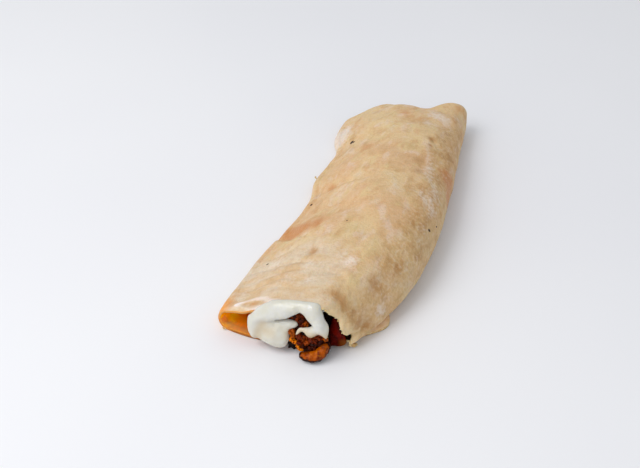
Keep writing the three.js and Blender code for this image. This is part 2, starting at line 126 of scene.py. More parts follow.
# Shares round the sheet of the stretch that carries spots, and of the lip that carries scraps
MARKED = (0.12, 0.86)
SCRAPPED = (0.66, 0.9)
# Rough girth and length that tell how near a point is to the sheet's other edges, and the rim's width
ROUGH_GIRTH = 200
ROUGH_LENGTH = 60
RIM_WIDE = 2.5

# Unevenness of the top layer: amount, size of the lumps in millimetres, seed
TOP_BUMPS = ((0.5, 15, 3), (0.22, 6, 4))
# Fine grit of the top and of its steep side, and of the torn lip, with the size of its grains
TOP_GRIT = 0.05
SIDE_GRIT = 0.1
LIP_GRIT = 0.5
GRIT_SIZE = 2.4
# How far creases wander from their straight lines, and over what distance
WANDER = 2.2
WANDER_SIZE = 13
# Fine folds across the sheet at the mouth: height, size, how much longer than wide, and where they fade
FINE_FOLD = 0.2
FINE_FOLD_SIZE = 3.2
FINE_FOLD_LONG = 4
FINE_FOLD_SLANT = 0.1
FINE_FOLD_LEFT = (-39, -30)
FINE_FOLD_RIGHT = (4, 14)
FINE_FOLD_ALONG = (-66, -54)
# How shallow creases and steps get at their ends, as the share of a half wave that is cut off
CREASE_CUT = 0.12
STEP_CUT = 0.15
# Creases and ridges of the top layer: from, to, height, width
CREASES = [
    ((-37, -71), (6, -73.5), -0.55, 1.7),
    ((-36, -79), (10, -80), -0.6, 1.6),
    ((-34, -85), (6, -85), -0.5, 1.5),
    ((-26, -90), (4, -91), -0.4, 1.4),
    ((-18, -72), (2, -76), -0.45, 1.4),
    ((-34, -63), (-16, -60), -0.4, 2.0),
    ((13.5, -82), (11.5, -99), -1.0, 3.4),
    ((8, -76), (16, -82), 0.7, 2.5),
    ((14, -77), (18, -34), 0.5, 3.0),
    ((18, 30), (22, 63), 0.5, 2.6),
    ((30, -6), (22, 34), 0.45, 2.2),
    ((25, 41), (19, 49), -0.6, 1.6),
    ((-2, 84), (24, 88), -0.6, 3.0),
    ((-34, 22), (-14, 34), -0.4, 2.6),
]
# Steps, where the sheet dips behind a fold: left end, right end, depth, slope's width behind and in front
STEPS = [
    ((-37, -37), (-21.5, -48.5), 2.4, 6.0, 0.8),
    ((-21.5, -48.5), (-8, -41.5), 1.8, 6.0, 1.0),
    ((-27, 3), (-1, -1), 1.0, 4.5, 1.2),
]
# Outer side of the pale flap at the far left, which lies lower than the rest: from, to, depth, softness,
# and over what lengths it begins and ends
FLAP_LINE = ((-33.6, 50), (-29.5, 74), 1.1, 1.2)
FLAP_BEGINS = 3
FLAP_ENDS = 12
# Dent behind the mouth: place across, place along, height, reach
MOUTH_DENT = (-6.5, -65, -1.3, 3.4)
# Gaps in the torn lip: share round the sheet, half the width, depth in millimetres
LIP_GAPS = [(0.765, 0.02, 2.2), (0.852, 0.022, 5.5)]
# Lift of the lip on the left, from where to where across, and how far in from the mouth the lip reaches
LIP_LIFT = 0.8
LIP_LIFT_LEFT = (-40, -36)
LIP_LIFT_RIGHT = (-24, -18)
LIP_REACH = 7
# Smoother relief at the very edge of the mouth
EDGE_RELIEF = 0.45
EDGE_REACH = 6
# Waves of the lip along the roll, everywhere and where it is torn: amount, size, seed
LIP_WAVES = ((0.8, 7, 6),)
TORN_WAVES = ((1.3, 3.2, 7),)
LIP_WAVE_START = (0.1, 0.16)
LIP_WAVE_REACH = 4

# Tints of the sheet, between the places where they begin and end: a pale stretch behind the mouth
PALE_ALONG = (-66, -50)
PALE_ACROSS = (4, 18)
PALE_WAVES = ((3, 14, 10),)
# Crumb that shows on the torn lip
TORN_TINT = 0.9
TORN_TINT_REACH = 5.5
# Amber corner of the mouth at the left
AMBER_CORNER = (-40, -98, 4)
AMBER_TINT = 1.5
AMBER_REACH = 7.5
# Inner face: soaked and oily at the mouth, more orange to the right, paler low at its front
SOAK_ACROSS = (-16, -6)
SOAK_DEEP = (14, 26)
SHADE_ACROSS = (-39, -30)
LOW_HEIGHT = (3.5, 6.5)
LOW_DEEP = (2, 8)
# Dark stain of the filling on the inner face, also painted shade that darkens the inside seen through the
# lip's gap
STAIN_AND_SHADE_LEFT = (4, 11)
STAIN_AND_SHADE_RIGHT = (20.5, 22.5)
STAIN_AND_SHADE_DEEP = (16, 30)

# Spots on the flatbread: place across, place along, reach, strength
# The toasted spot in the dent behind the mouth is also painted shade
TOASTED_AND_SHADED = [
    (20.4, 46.3, 4, 0.9), (21.5, 40, 2, 1.0), (28.9, 42.9, 8, 0.5), (20.4, 21.3, 7, 0.6),
    (22.2, 9.8, 4, 0.8), (13.4, 5.6, 4, 0.6), (33.5, -0.5, 4, 0.7), (21.6, -10.4, 8, 0.4),
    (20.1, -17, 7, 0.4), (20.8, -1.2, 6, 0.25), (25.8, -24.5, 5, 0.5), (29.9, -31.1, 5, 0.6),
    (25.8, -41.2, 6, 0.5), (36, -40, 5, 0.6), (29.9, -55, 6, 0.4), (28.3, -61.2, 5, 0.6),
    (34.5, -61.4, 6, 0.4), (24.3, -75.6, 5, 0.9), (28.7, -76.4, 4, 0.25), (23.4, -88, 5, 1.0),
    (23.6, -92.4, 5, 0.9), (25.8, -87.2, 4, 0.8), (28.6, 79, 7, 0.5), (31, 20, 9, 0.35),
    (9.6, 45, 12, 0.3), (-6.8, -64.7, 4, 0.9), (-24, 40, 10, 0.4), (2, 66, 10, 0.25), (-26, 55, 7, 0.5),
    (-16, 42, 6, 0.4), (-10.5, -73.8, 5, 0.5),
]
FLOURED = [
    (-36.5, 64, 10, 1.3), (-35.8, 56, 7, 1.2), (-33.4, 70, 7, 1.1), (15.6, 65.2, 6, 0.6),
    (0.8, 59.2, 6, 0.4), (-8.6, 62.3, 6, 0.4), (18, 77, 7, 0.8), (24, 86, 7, 0.35),
    (31.6, -9.9, 5, 0.7), (34.9, -12.8, 5, 0.7), (27.4, -7.4, 4, 0.5), (35, -30, 6, 0.35),
    (36, -52, 7, 0.35), (29.6, -73.9, 5, 0.4), (12.5, -70.4, 4, 0.8), (6.9, -67.4, 4, 0.6),
    (0.5, -75.5, 5, 0.35), (27.7, -79.5, 4, 0.8), (-11.2, -85.1, 6, 0.6), (-1.5, -86.5, 5, 0.6),
    (-24.6, -68.4, 6, 0.5), (-5.6, -74.7, 4, 0.5), (-28, -76, 9, 0.4), (-20, -58, 9, 0.35),
    (-15.6, 2.9, 3, 0.6), (11, -97, 3, 0.4),
]
OILED = [
    (-10.6, 35.6, 5, 0.7), (34.9, 22.7, 6.5, 1.6), (37.5, 13.9, 6, 1.5), (34, 33, 5, 0.6),
    (-19.9, 4.1, 4, 0.8), (-24, 8, 5, 0.5), (-29.5, 8.9, 5, 0.5), (-16.7, 92.7, 6, 0.5),
    (-1.8, 79.8, 6, 0.6), (8, 83, 6, 0.4), (23.7, 80.4, 6, 0.4), (25.8, 97.2, 5, 0.5),
    (-26.5, 46.7, 5, 0.5), (-40, -97, 6, 1.2), (-36, -96, 7, 0.75), (-35, -90, 6, 0.4),
    (-36, -50, 6, 0.5), (-35, -59, 6, 0.45), (-22, -18, 8, 0.4), (-29, -10, 7, 0.4),
    (-26.5, -98.4, 3, 0.6), (37, -6, 6, 0.4), (-0.8, 76.4, 5, 0.8), (3, 72.6, 5, 0.6),
    (7.9, 69.3, 5, 0.5), (24, 93, 5, 0.5), (-23.3, -99.3, 2.6, 0.8),
]
CHARRED = [
    (-24.2, 53.1, 1.2, 1.4), (-22.9, 52.4, 0.9, 1.1), (-28.1, -6.8, 0.9, 1.2), (-29.1, -66.2, 0.8, 1.1),
    (36.5, -26, 0.9, 1.2), (38.2, -17.6, 0.7, 1.0), (1.5, -42, 0.6, 0.9),
]
# Marks drawn out along lines: places in plan, each with a half width and a strength
STREAK_STEP = 0.6
DUST_STREAKS = [
    [(20.4, 40, 2.4, 0.4), (21.6, 34, 2.6, 0.6), (24, 27.7, 2.8, 0.7), (26.7, 17.2, 2.8, 0.9),
     (29.1, 6.5, 3.2, 0.9), (32.5, 2.6, 3.6, 0.8), (33.6, -6, 4.4, 0.8)],
    [(11, 1.2, 2.8, 0.7), (13.6, -4, 2.8, 0.7), (16, -9, 2.8, 0.7), (19.4, -12.6, 2.6, 0.5)],
]
# Oil with painted shade in the valley behind the fold at the left
OIL_AND_SHADE_STREAKS = [
    [(-36, -32, 6, 0.9), (-29, -35, 7.5, 1.1), (-24, -37, 8, 1.2), (-19, -37, 8, 1.05),
     (-14.3, -36, 7.5, 0.8), (-9.5, -35, 5, 0.4)],
]
# Toasted brown and painted shade along the lip at the right of the mouth, across the pleat valley
TOAST_AND_SHADE_STREAKS = [
    [(4.6, -95, 3, 0.45), (7.4, -93.4, 3, 0.6), (9.9, -92.8, 3.4, 0.75), (12, -93.2, 3.6, 0.8),
     (14.1, -93.8, 3.6, 0.8), (16.3, -94.4, 3.6, 0.75), (18.4, -94.6, 3.4, 0.6)],
]

# White sauce that hangs out of the mouth on a leaning plane: outlines of its lobes, across and up
DRAPE_FOOT = -107
DRAPE_FOOT_HEIGHT = 4
DRAPE_LEAN = 0.25
BAND_HALF_THICK = 3.2
BODY_HALF_THICK = 2.5
BAND = [
    (-23.5, 15.5), (-20.5, 19), (-17, 22), (-13.5, 24.8), (-6, 27), (2.5, 28), (7.5, 28), (9, 26.5),
    (10, 23.5), (10.7, 21.5), (12.9, 18.5), (13.2, 15.5), (12.8, 12.3), (11.5, 12), (10, 13.5), (9, 14),
    (7, 12.5), (5.5, 11.5), (4, 11.5), (2.5, 13), (1.5, 13.5), (-0.5, 11.5), (-1.5, 10), (-2, 11.5),
    (-1.5, 13.5), (-0.5, 15.5), (1.5, 16), (4, 16.5), (5.5, 17.5), (4, 18.7), (3, 19.2), (2.2, 20.6),
    (0, 22.2), (-2.5, 20.5), (-5, 18.6), (-8, 17.2), (-12, 15.5), (-18, 12), (-22.5, 12),
]
BODY = [
    (-24, 15.5), (-24, 12), (-23.5, 8), (-22.5, 5.5), (-21, 4.5), (-18.5, 5), (-17, 4.5), (-14.5, 4),
    (-12.5, 3.5), (-11, 3), (-7.5, 3), (-5.5, 4.5), (-4.5, 7), (-4.8, 11), (-3.8, 12.6), (-1.8, 13.2),
    (-0.8, 14.8), (-1.8, 16.6), (-4.5, 16.8), (-8, 16.2), (-11.5, 15.2), (-14, 16.5), (-17, 19),
    (-20, 18),
]
# How far the band stands forward, and from where to where across
BAND_FORWARD = 1.0
BAND_FORWARD_ACROSS = (-19, -8)
# How far the body lies back at its foot and under the band, and where
BODY_BACK = (0.2, 2.0)
BODY_BACK_UP = (6, 16)
BODY_BACK_ACROSS = (-18, -10)
# Share of that at the body's right end, which comes forward again
STUB_BACK = 0.35
STUB_ACROSS = (-8, -4)
# Trough of the body between two swells: place across at a height, slant, and the swells' height and spacing
TROUGH_ACROSS = -15.5
TROUGH_HEIGHT = 16
TROUGH_SLANT = 0.35
SWELL = 0.6
SWELL_OFTEN = 0.48
SWELL_FOOT = (2, 9)
SWELL_HEAD = (13, 18)
# Painted warm shade that makes parts of the sauce creamier: the body's lower part but for a painted
# highlight spot, the trough, and the right arm
CREAMY_SHADE_UP = (7, 17)
CREAMY_SHADE_LEFT = 0.35
CREAMY_SHADE_ACROSS = (-21, -15)
CREAMY_SHADE_FOOT = 0.2
CREAMY_SHADE_FOOT_UP = (7, 12)
# Painted highlight: a white spot where the painted shade is taken away
HIGHLIGHT_SPOT = (-8.5, 10.8)
HIGHLIGHT_SPOT_REACH = 2.2
HIGHLIGHT_SPOT_SHARE = 0.9
CREAMY_SHADE_TROUGH = 0.6
CREAMY_SHADE_TROUGH_HALF = 3.2
CREAMY_SHADE_TROUGH_UP = (13, 19)
CREAMY_SHADE_ARM = 0.9
CREAMY_SHADE_ARM_ACROSS = (-3, 1)
CREAMY_SHADE_ARM_UP = (12, 19)
# Balls that fill an outline: grid, spacing as a share of the radius, smallest ball, smallest finer ball
POUR_STEP = 0.5
POUR_SPACING = 0.45
POUR_SMALLEST = 0.4
POUR_FINER = 1.2
# Skins run over such balls: size of a voxel, rounds of smoothing, and unevenness as amount, size, seed
SAUCE_VOXEL = 0.4
SAUCE_SMOOTHING = 14
SAUCE_BUMPS = ((0.3, 6, 11), (0.08, 2.2, 12))
SMALL_VOXEL = 0.35
STRIP_SMOOTHING = 5
STRIP_BUMPS = ((0.35, 3, 41),)
CHUNK_SMOOTHING = 3
CHUNK_BUMPS = ((0.15, 4, 21), (0.35, 1.8, 22))
# Thin sauce smeared over the lip, as marks along lines
SMEARS = [
    [(-31, -98, 1.0, 1.5), (-29.6, -97.2, 1.1, 1.0), (-26.2, -96.4, 1.1, 0.7),
     (-23.4, -95.8, 1.3, 0.75), (-19.5, -96, 1.7, 0.75), (-15, -99, 2.4, 0.8), (-12, -101, 3, 1)],
    [(-31, -98.2, 1.0, 1.4), (-29.3, -99.4, 1.0, 0.6), (-25.6, -101.8, 1.2, 0.5),
     (-22.6, -103, 1.6, 0.6), (-18, -102.8, 2.6, 1)],
]
FILM_THICK = 0.35

# Body of the filling and ribbon of sauce inside the roll, between shares of the width and the length
CORE_ACROSS = (0.14, 0.93)
CORE_ALONG = (0.035, 0.92)
POCKET_SHARE = 0.36
POCKET_DEPTH = 0.13
RIBBON_ACROSS = (0.4, 0.78)
RIBBON_FULL = (0.5, 0.68)
RIBBON_ALONG = (0.008, 0.84)
RIBBON_FADE = 0.55
RIBBON_DEPTH = 3.0
RIBBON_RIM = 0.4
UNDER_GAP = 0.8
# How much deeper the filling lies, out of sight
CORE_SINK = 2.2
RIBBON_CUTS = 11
CORE_CUTS = 15
# Where the filling's body is orange, oily and with a painted amber glow of the lit pocket: from the left,
# and from the mouth
CORE_OILY_GLOW_ACROSS = (-12, -4)
CORE_OILY_GLOW_ALONG = (-80, -60)

# Crags of a piece of filling: amount and how often they come; the largest turn; the lowest place
CRAGS = ((0.6, 1.3), (0.5, 2.9), (0.26, 6.3))
LUMP_TURN = 0.6
LUMP_FLOOR = 0.1
# Pieces of filling that show: place, half size, tint from nearly black to orange
PIECES = [
    ((-3.6, -104.6, 11.0), (1.3, 1.3, 2.0), 0.7), ((-3.6, -104.6, 7.6), (0.9, 0.9, 1.1), 1.0),
    ((-2.2, -104.8, 6.0), (1.0, 0.9, 0.9), 0.95), ((-0.8, -105.0, 4.3), (0.9, 0.9, 1.0), 0.9),
    ((0.7, -105.2, 3.5), (0.9, 0.8, 0.8), 0.95), ((-0.4, -104.4, 9.4), (1.6, 1.4, 1.7), 0.4),
    ((1.6, -104.2, 9.6), (1.1, 1.1, 1.4), 0.5), ((2.3, -103.4, 11.4), (1.7, 1.5, 1.8), 0.05),
    ((5.2, -104.4, 10.0), (2.2, 1.5, 1.4), 0.34), ((8.0, -104.2, 11.6), (2.3, 1.4, 1.4), 0.42),
    ((9.8, -103.6, 13.0), (1.3, 1.2, 1.2), 0.65), ((11.2, -104.0, 11.6), (0.9, 0.9, 0.9), 0.75),
    ((0.0, -105.0, 6.4), (1.3, 1.2, 1.3), 0.3), ((1.7, -105.2, 5.2), (1.2, 1.1, 1.1), 0.14),
    ((2.9, -104.9, 7.0), (1.3, 1.1, 1.2), 0.55), ((6.2, -103.6, 6.4), (2.6, 2.0, 2.2), 0.08),
    ((3.6, -104.6, 3.4), (2.0, 1.6, 1.9), 0.06), ((9.2, -103.0, 8.4), (2.4, 2.0, 2.2), 0.1),
    ((6.6, -105.4, 5.6), (1.0, 0.9, 0.8), 0.16), ((8.0, -104.8, 7.6), (1.2, 1.0, 0.9), 0.14),
    ((4.6, -105.6, 5.0), (0.8, 0.8, 0.7), 0.2), ((11.0, -102.6, 5.0), (1.8, 1.6, 2.4), 0.12),
    ((-2.6, -100.6, 16.4), (2.4, 1.6, 2.0), 0.45), ((0.2, -100.2, 18.2), (2.0, 1.6, 1.8), 0.35),
    ((-0.8, -101.4, 14.6), (1.0, 0.9, 0.8), 0.8), ((1.8, -101.4, 15.0), (1.6, 1.2, 1.1), 0.7),
    ((-6.0, -101.0, 15.2), (1.8, 1.4, 1.3), 0.38), ((-3.0, -102.4, 13.6), (1.1, 1.0, 1.2), 0.15),
]
# Dark pieces behind them: middle, spread, how many, smallest and largest half size
BEHIND = ((1.0, -99.0, 9.0), (7.0, 2.6, 7.0), 80, (1.0, 2.4))
BEHIND_STRETCH = (0.75, 1.25)
BEHIND_TINTS = (0, 0.3)
# Dark piece low beside the sauce: place, half size, tint
BESIDE_SAUCE = ((-3.5, -102.4, 3.2), (2.5, 1.4, 2.8), 0.02)
# Crumbs on the pieces that show: how many, half sizes, stretch, and share of the piece's tint
CRUMBS = 130
CRUMB_SIZES = (0.3, 0.75)
CRUMB_STRETCH = (0.6, 1.5)
CRUMB_TINTS = (0.4, 1.3)
# Rounds of subdivision of the balls that become pieces that show, pieces behind and crumbs
SHOWN_ROUNDS = 4
BEHIND_ROUNDS = 3
CRUMB_ROUNDS = 2
# Flat red piece that stands at the right of the mouth: outline across and up, place along, half thickness
STRIP = [
    (12.6, 18), (14.8, 16.4), (16.2, 12.6), (17.8, 9), (18.6, 5), (18, 2.8), (14.7, 1.4), (10.4, 1),
    (10.3, 6), (10.7, 12), (11.5, 16),
]
STRIP_PLACE = -97.2
STRIP_HALF_THICK = 1.1
STRIP_WAVE = 0.6
STRIP_WAVE_OFTEN = 0.4
STRIP_OILY_ACROSS = (13, 17.5)
STRIP_OILY_UP = (5, 9)

# Crescent of filling in front of the mouth: places and radii along it, and spacing of its balls in radii
FALLEN = [
    (1.7, -107.6, 1.7, 1.5), (3.4, -108.3, 2.2, 2.1), (6.2, -108.3, 2.7, 2.6), (8.8, -107.1, 3.4, 2.7),
    (10.6, -105.5, 5.2, 2.4), (11.2, -104.6, 7.0, 1.9),
]
BEAD_SPACING = 0.3
# Dark parts of the crescent, with strengths: burnt left tip, painted shade along its foot, burnt crest and
# right end
BURNT_TIP = (0.5, 3)
SHADED_FOOT = (2.2, 4)
BURNT_CREST = (5.5, 8)
BURNT_CREST_SHARE = 0.4
BURNT_END = (10.5, 13)
BURNT_END_SHARE = 0.55

# Loose flakes at the edges of the sheet: middle, half size, turn about the upright axis, tilt
FLAKES = [
    ((20.4, -93.8, 1.3), 1.4, 0.3, 0.5), ((19.6, -94.8, 2.4), 1.1, 1.2, 0.9),
    ((21.6, -92.8, 0.9), 1.0, 2.2, 0.2), ((-37.2, -100.6, 0.9), 1.0, 0.5, 0.3),
    ((-35.4, 21.0, 6.2), 0.9, 1.9, 0.7),
]
SCRAPS = 16
SCRAP_SIZES = (0.4, 0.9)
SCRAP_TURNS = (0, 6)
SCRAP_TILTS = (-1, 1)
FLAKE_CUTS = 6
FLAKE_THICK = 0.35
FLAKE_NARROW = 0.7
FLAKE_RAGGED = 0.6
FLAKE_RAGGED_OFTEN = 1.6
FLAKE_CURL = 0.18
FLAKE_BUMP = 0.25


def mix(a, b, share):
    """The value a share of the way from a to b."""
    return a + (b - a) * share


def step(x, low, high):
    """A smooth step from 0 at low to 1 at high."""
    t = np.clip((x - low) / (high - low), 0, 1)
    return t * t * (3 - 2 * t)


def fading(x, low, high):
    """A smooth step from 1 at low to 0 at high."""
    return 1 - step(x, low, high)


def bell(away, reach):
    """A soft spot: 1 in its middle and nearly gone at twice its reach."""
    return np.exp(-(away / reach) ** 2)


def curve(places, values):
    """A smooth line through values at given places, to be read at an array of places."""
    places = np.asarray(places, float)
    values = np.asarray(values, float)
    slopes = np.gradient(values, places, axis=0)

    def at(x):
        x = np.clip(x, places[0], places[-1])
        i = np.clip(np.searchsorted(places, x) - 1, 0, len(places) - 2)
        span = places[i + 1] - places[i]
        t = (x - places[i]) / span
        if values.ndim > 1:
            t, span = t[..., None], span[..., None]
        start = values[i] * (1 + 2 * t) * (1 - t) ** 2 + slopes[i] * span * t * (1 - t) ** 2
        return start + values[i + 1] * t * t * (3 - 2 * t) - slopes[i + 1] * span * t * t * (1 - t)

    return at


def even_curve(values):
    """A smooth line through values at even places from 0 to 1."""
    return curve(np.linspace(0, 1, len(values)), values)


def run_along(points):
    """How far along a row of points each of them lies."""
    return np.concatenate([[0], np.cumsum(np.linalg.norm(np.diff(points, axis=0), axis=1))])


def clouds(points, size, seed):
    """Smooth noise from -1 to 1 at each point, with lumps of a size in millimetres."""
    apart = Vector((seed * 17.31, seed * 5.17, seed * 9.73))
    return np.array([noise.noise(Vector(p) / size + apart) for p in points])


def uneven(points, layers):
    """Layers of such noise added up: amount, size, seed."""
    return sum(amount * clouds(points, size, seed) for amount, size, seed in layers)


LEFT = curve(LEFT_ALONG, [
    -41.2, -40.8, -39.4, -38.2, -34.8, -32.3, -32.3, -35.3, -33.9, -33.6, -38.2, -39.8, -38.5, -34])
RIGHT = curve(RIGHT_ALONG, [19, 22.6, 25.6, 29.6, 32.9, 36.5, 38.5, 40.2, 39.5, 37.8, 35.5, 33, 31.8, 29.4])
CROWN = curve(ALONG, [26.5, 28, 29.5, 30.5, 30.5, 30, 28.5, 26.5, 24, 21.5, 19])
CROWN_AT = curve(ALONG, [0.84, 0.785, 0.7, 0.64, 0.62, 0.62, 0.61, 0.6, 0.61, 0.66, 0.93])
SIDE_STEEP = curve(ALONG, [1.15, 1.5, 2, 2.4, 2.5, 2.5, 2.5, 2.5, 2.6, 3.4, 9])
LEFT_FOLD = curve(ALONG, [4.2, 4, 3.6, 3.3, 3, 3, 2.9, 2.8, 2.8, 2.8, 2.8])
RIGHT_EDGE = curve(ALONG, [7.2, 7.6, 9, 10.3, 10, 9.5, 9, 8.5, 8, 7.8, 7.6])
LIP_EDGE = even_curve([-98.5, -103.2, -103.5, -102.3, -102.8, -99.5])
FLOOR_EDGE = even_curve([-100, -102.3, -102.5, -99.5, -95, -94])
FAR_EDGE = even_curve([86, 103.5, 98, 96.5, 103, 106])
LENGTH = float(FAR_EDGE(np.array(0.5)) - LIP_EDGE(np.array(0.5)))
END_PLACE = 1 - END_ROUND / LENGTH


def place_along(v):
    """Share of the roll's length at a share of the rows: closer rows at the mouth and round the far end."""
    body = END_PLACE * np.clip(v / BODY_SHARE, 0, 1) ** MOUTH_CLOSER
    end = np.clip((v - BODY_SHARE) / (1 - BODY_SHARE), 0, 1)
    return np.where(v <= BODY_SHARE, body, mix(END_PLACE, 1, np.sin(end * np.pi / 2)))


def standing(place):
    """How much of its full height the roll keeps along it, less and less round the far end."""
    past = np.clip((place - END_PLACE) / (1 - END_PLACE), 0, 1)
    return mix(END_SWELL, 1, np.sqrt(1 - past * past))


def stretch(u, name):
    """How far a share round the sheet lies along one of its stretches, from 0 to 1."""
    start, end = STRETCHES[name]
    return np.clip((u - start) / (end - start), 0, 1)


def hump(across, crown_at, steep):
    """The top layer's rise to its crown: a long slope on the left, a steep side on the right."""
    left = np.sin(np.clip(across / crown_at, 0, 1) * np.pi / 2)
    out = np.clip((across - crown_at) / (1 - crown_at), 0, 1)
    return np.where(across <= crown_at, left, np.clip(1 - out ** steep, 0, 1) ** (SIDE_FULL / steep))


def puffs(across, y):
    """Ripples, puffs and dents of the top layer."""
    height = RIPPLE * (np.sin(y * 0.17 + across * 9) + np.sin(y * 0.29 - across * 17 + 1.3))
    for at, along, rise, reach in PUFFS:
        height = height + rise * bell(np.hypot((across - at) * BROAD, y - along), reach)
    return height


def sheet_middle(u, v):
    """The wound sheet's middle surface for shares u round it, from its free edge, and v along it."""
    place = place_along(v)
    y = mix(LIP_EDGE(0.5 + 0 * u), FAR_EDGE(0.5 + 0 * u), place)
    width = RIGHT(y) - LEFT(y) - SHEET
    up = standing(place)
    fold = mix((END_HEIGHT - OUTER_FLOOR) / 2, LEFT_FOLD(y), up)
    right_edge = mix(END_HEIGHT, RIGHT_EDGE(y), up)
    right_round = right_edge - INNER_FLOOR
    crown = CROWN(y) - SHEET / 2
    free_edge = 1 + mix(FLAP_HIDDEN, FLAP_SHOWN, bell(y - FLAP_PLACE, FLAP_SPAN)) / width
    left_turn = stretch(u, "left") * np.pi
    right_turn = stretch(u, "right") * np.pi / 2
    share = mix(stretch(u, "top"), np.sin(stretch(u, "top") * np.pi / 2), EDGE_CROWDING)
    top_across = mix(fold / width, 1, share)
    edge = mix(OUTER_FLOOR + 2 * fold, right_edge, share)
    swell = np.sqrt(np.sin(share * np.pi).clip(0))
    rise = (crown - edge) * hump(share, CROWN_AT(y), SIDE_STEEP(y))
    top = edge + up * (rise + puffs(top_across, y) * swell)
    starts = [u < STRETCHES[name][1] - 1e-6 for name in ("floor", "left", "top", "right")]
    across = np.select(starts, [
        mix(free_edge, fold / width, stretch(u, "floor")),
        fold * (1 - np.sin(left_turn)) / width,
        top_across,
        1 - right_round * (1 - np.cos(right_turn)) / width,
    ], mix(1 - right_round / width, TUCK_REACH, stretch(u, "tuck")))
    height = np.select(starts, [
        OUTER_FLOOR + 0 * u,
        OUTER_FLOOR + fold * (1 - np.cos(left_turn)),
        top,
        right_edge - right_round * np.sin(right_turn),
    ], INNER_FLOOR)
    inside = np.clip(across, 0, 1)
    low = 1 - step(stretch(u, "left"), 0, 1) + step(stretch(u, "right"), 0, 1)
    lip = mix(LIP_EDGE(inside), FLOOR_EDGE(inside), low)
    y = mix(lip, FAR_EDGE(inside), place)
    x = mix(LEFT(y) + SHEET / 2, RIGHT(y) - SHEET / 2, across)
    return np.stack([x, y, height], axis=-1)


def outward(grid):
    """Normals of a grid of points, rows along the roll and columns round it."""
    normal = np.cross(np.gradient(grid, axis=1), np.gradient(grid, axis=0))
    return normal / np.linalg.norm(normal, axis=-1, keepdims=True)


def to_line(x, y, start, end):
    """For places in plan, the share along a line of its nearest point, and the distance to that."""
    way_x, way_y = end[0] - start[0], end[1] - start[1]
    length_squared = way_x ** 2 + way_y ** 2
    t = np.clip(((x - start[0]) * way_x + (y - start[1]) * way_y) / length_squared, 0, 1)
    return t, np.hypot(x - start[0] - t * way_x, y - start[1] - t * way_y)


def crease(x, y, start, end, height, width):
    """A soft crease or ridge along a line, lower at its ends."""
    t, away = to_line(x, y, start, end)
    return height * np.sin(np.pi * mix(CREASE_CUT, 1 - CREASE_CUT, t)) * bell(away, width)


def dip(x, y, start, end, depth, behind, front):
    """A step down behind a line, steep on its front side."""
    t, away = to_line(x, y, start, end)
    past = (y - start[1]) * (end[0] - start[0]) - (x - start[0]) * (end[1] - start[1]) > 0
    slope = bell(away, np.where(past, behind, front))
    return -depth * np.sin(np.pi * mix(STEP_CUT, 1 - STEP_CUT, t)) * slope


def spots(points, upper, marks):
    """Soft spots on the upper surface, each round the surface point nearest to its place in plan."""
    total = np.zeros(len(points))
    for x, y, reach, strength in marks:
        nearest = np.where(upper, np.hypot(points[:, 0] - x, points[:, 1] - y), 1e9).argmin()
        away = np.linalg.norm(points - points[nearest], axis=1)
        total = np.maximum(total, strength * bell(away, reach))
    return total


def streaks(x, y, lines):
    """How strongly places in plan are marked by lines of soft strokes."""
    total = np.zeros(len(x))
    for line in lines:
        values = np.array(line, float)
        run = run_along(values[:, :2])
        for at_x, at_y, half, strength in curve(run, values)(np.arange(0, run[-1], STREAK_STEP)):
            total = np.maximum(total, strength * bell(np.hypot(x - at_x, y - at_y), half))
    return total


def srgb(red, green, blue):
    """A linear colour from screen values out of 255."""
    values = [v / 255 for v in (red, green, blue)]
    return [v / 12.92 if v <= 0.04045 else ((v + 0.055) / 1.055) ** 2.4 for v in values] + [1]


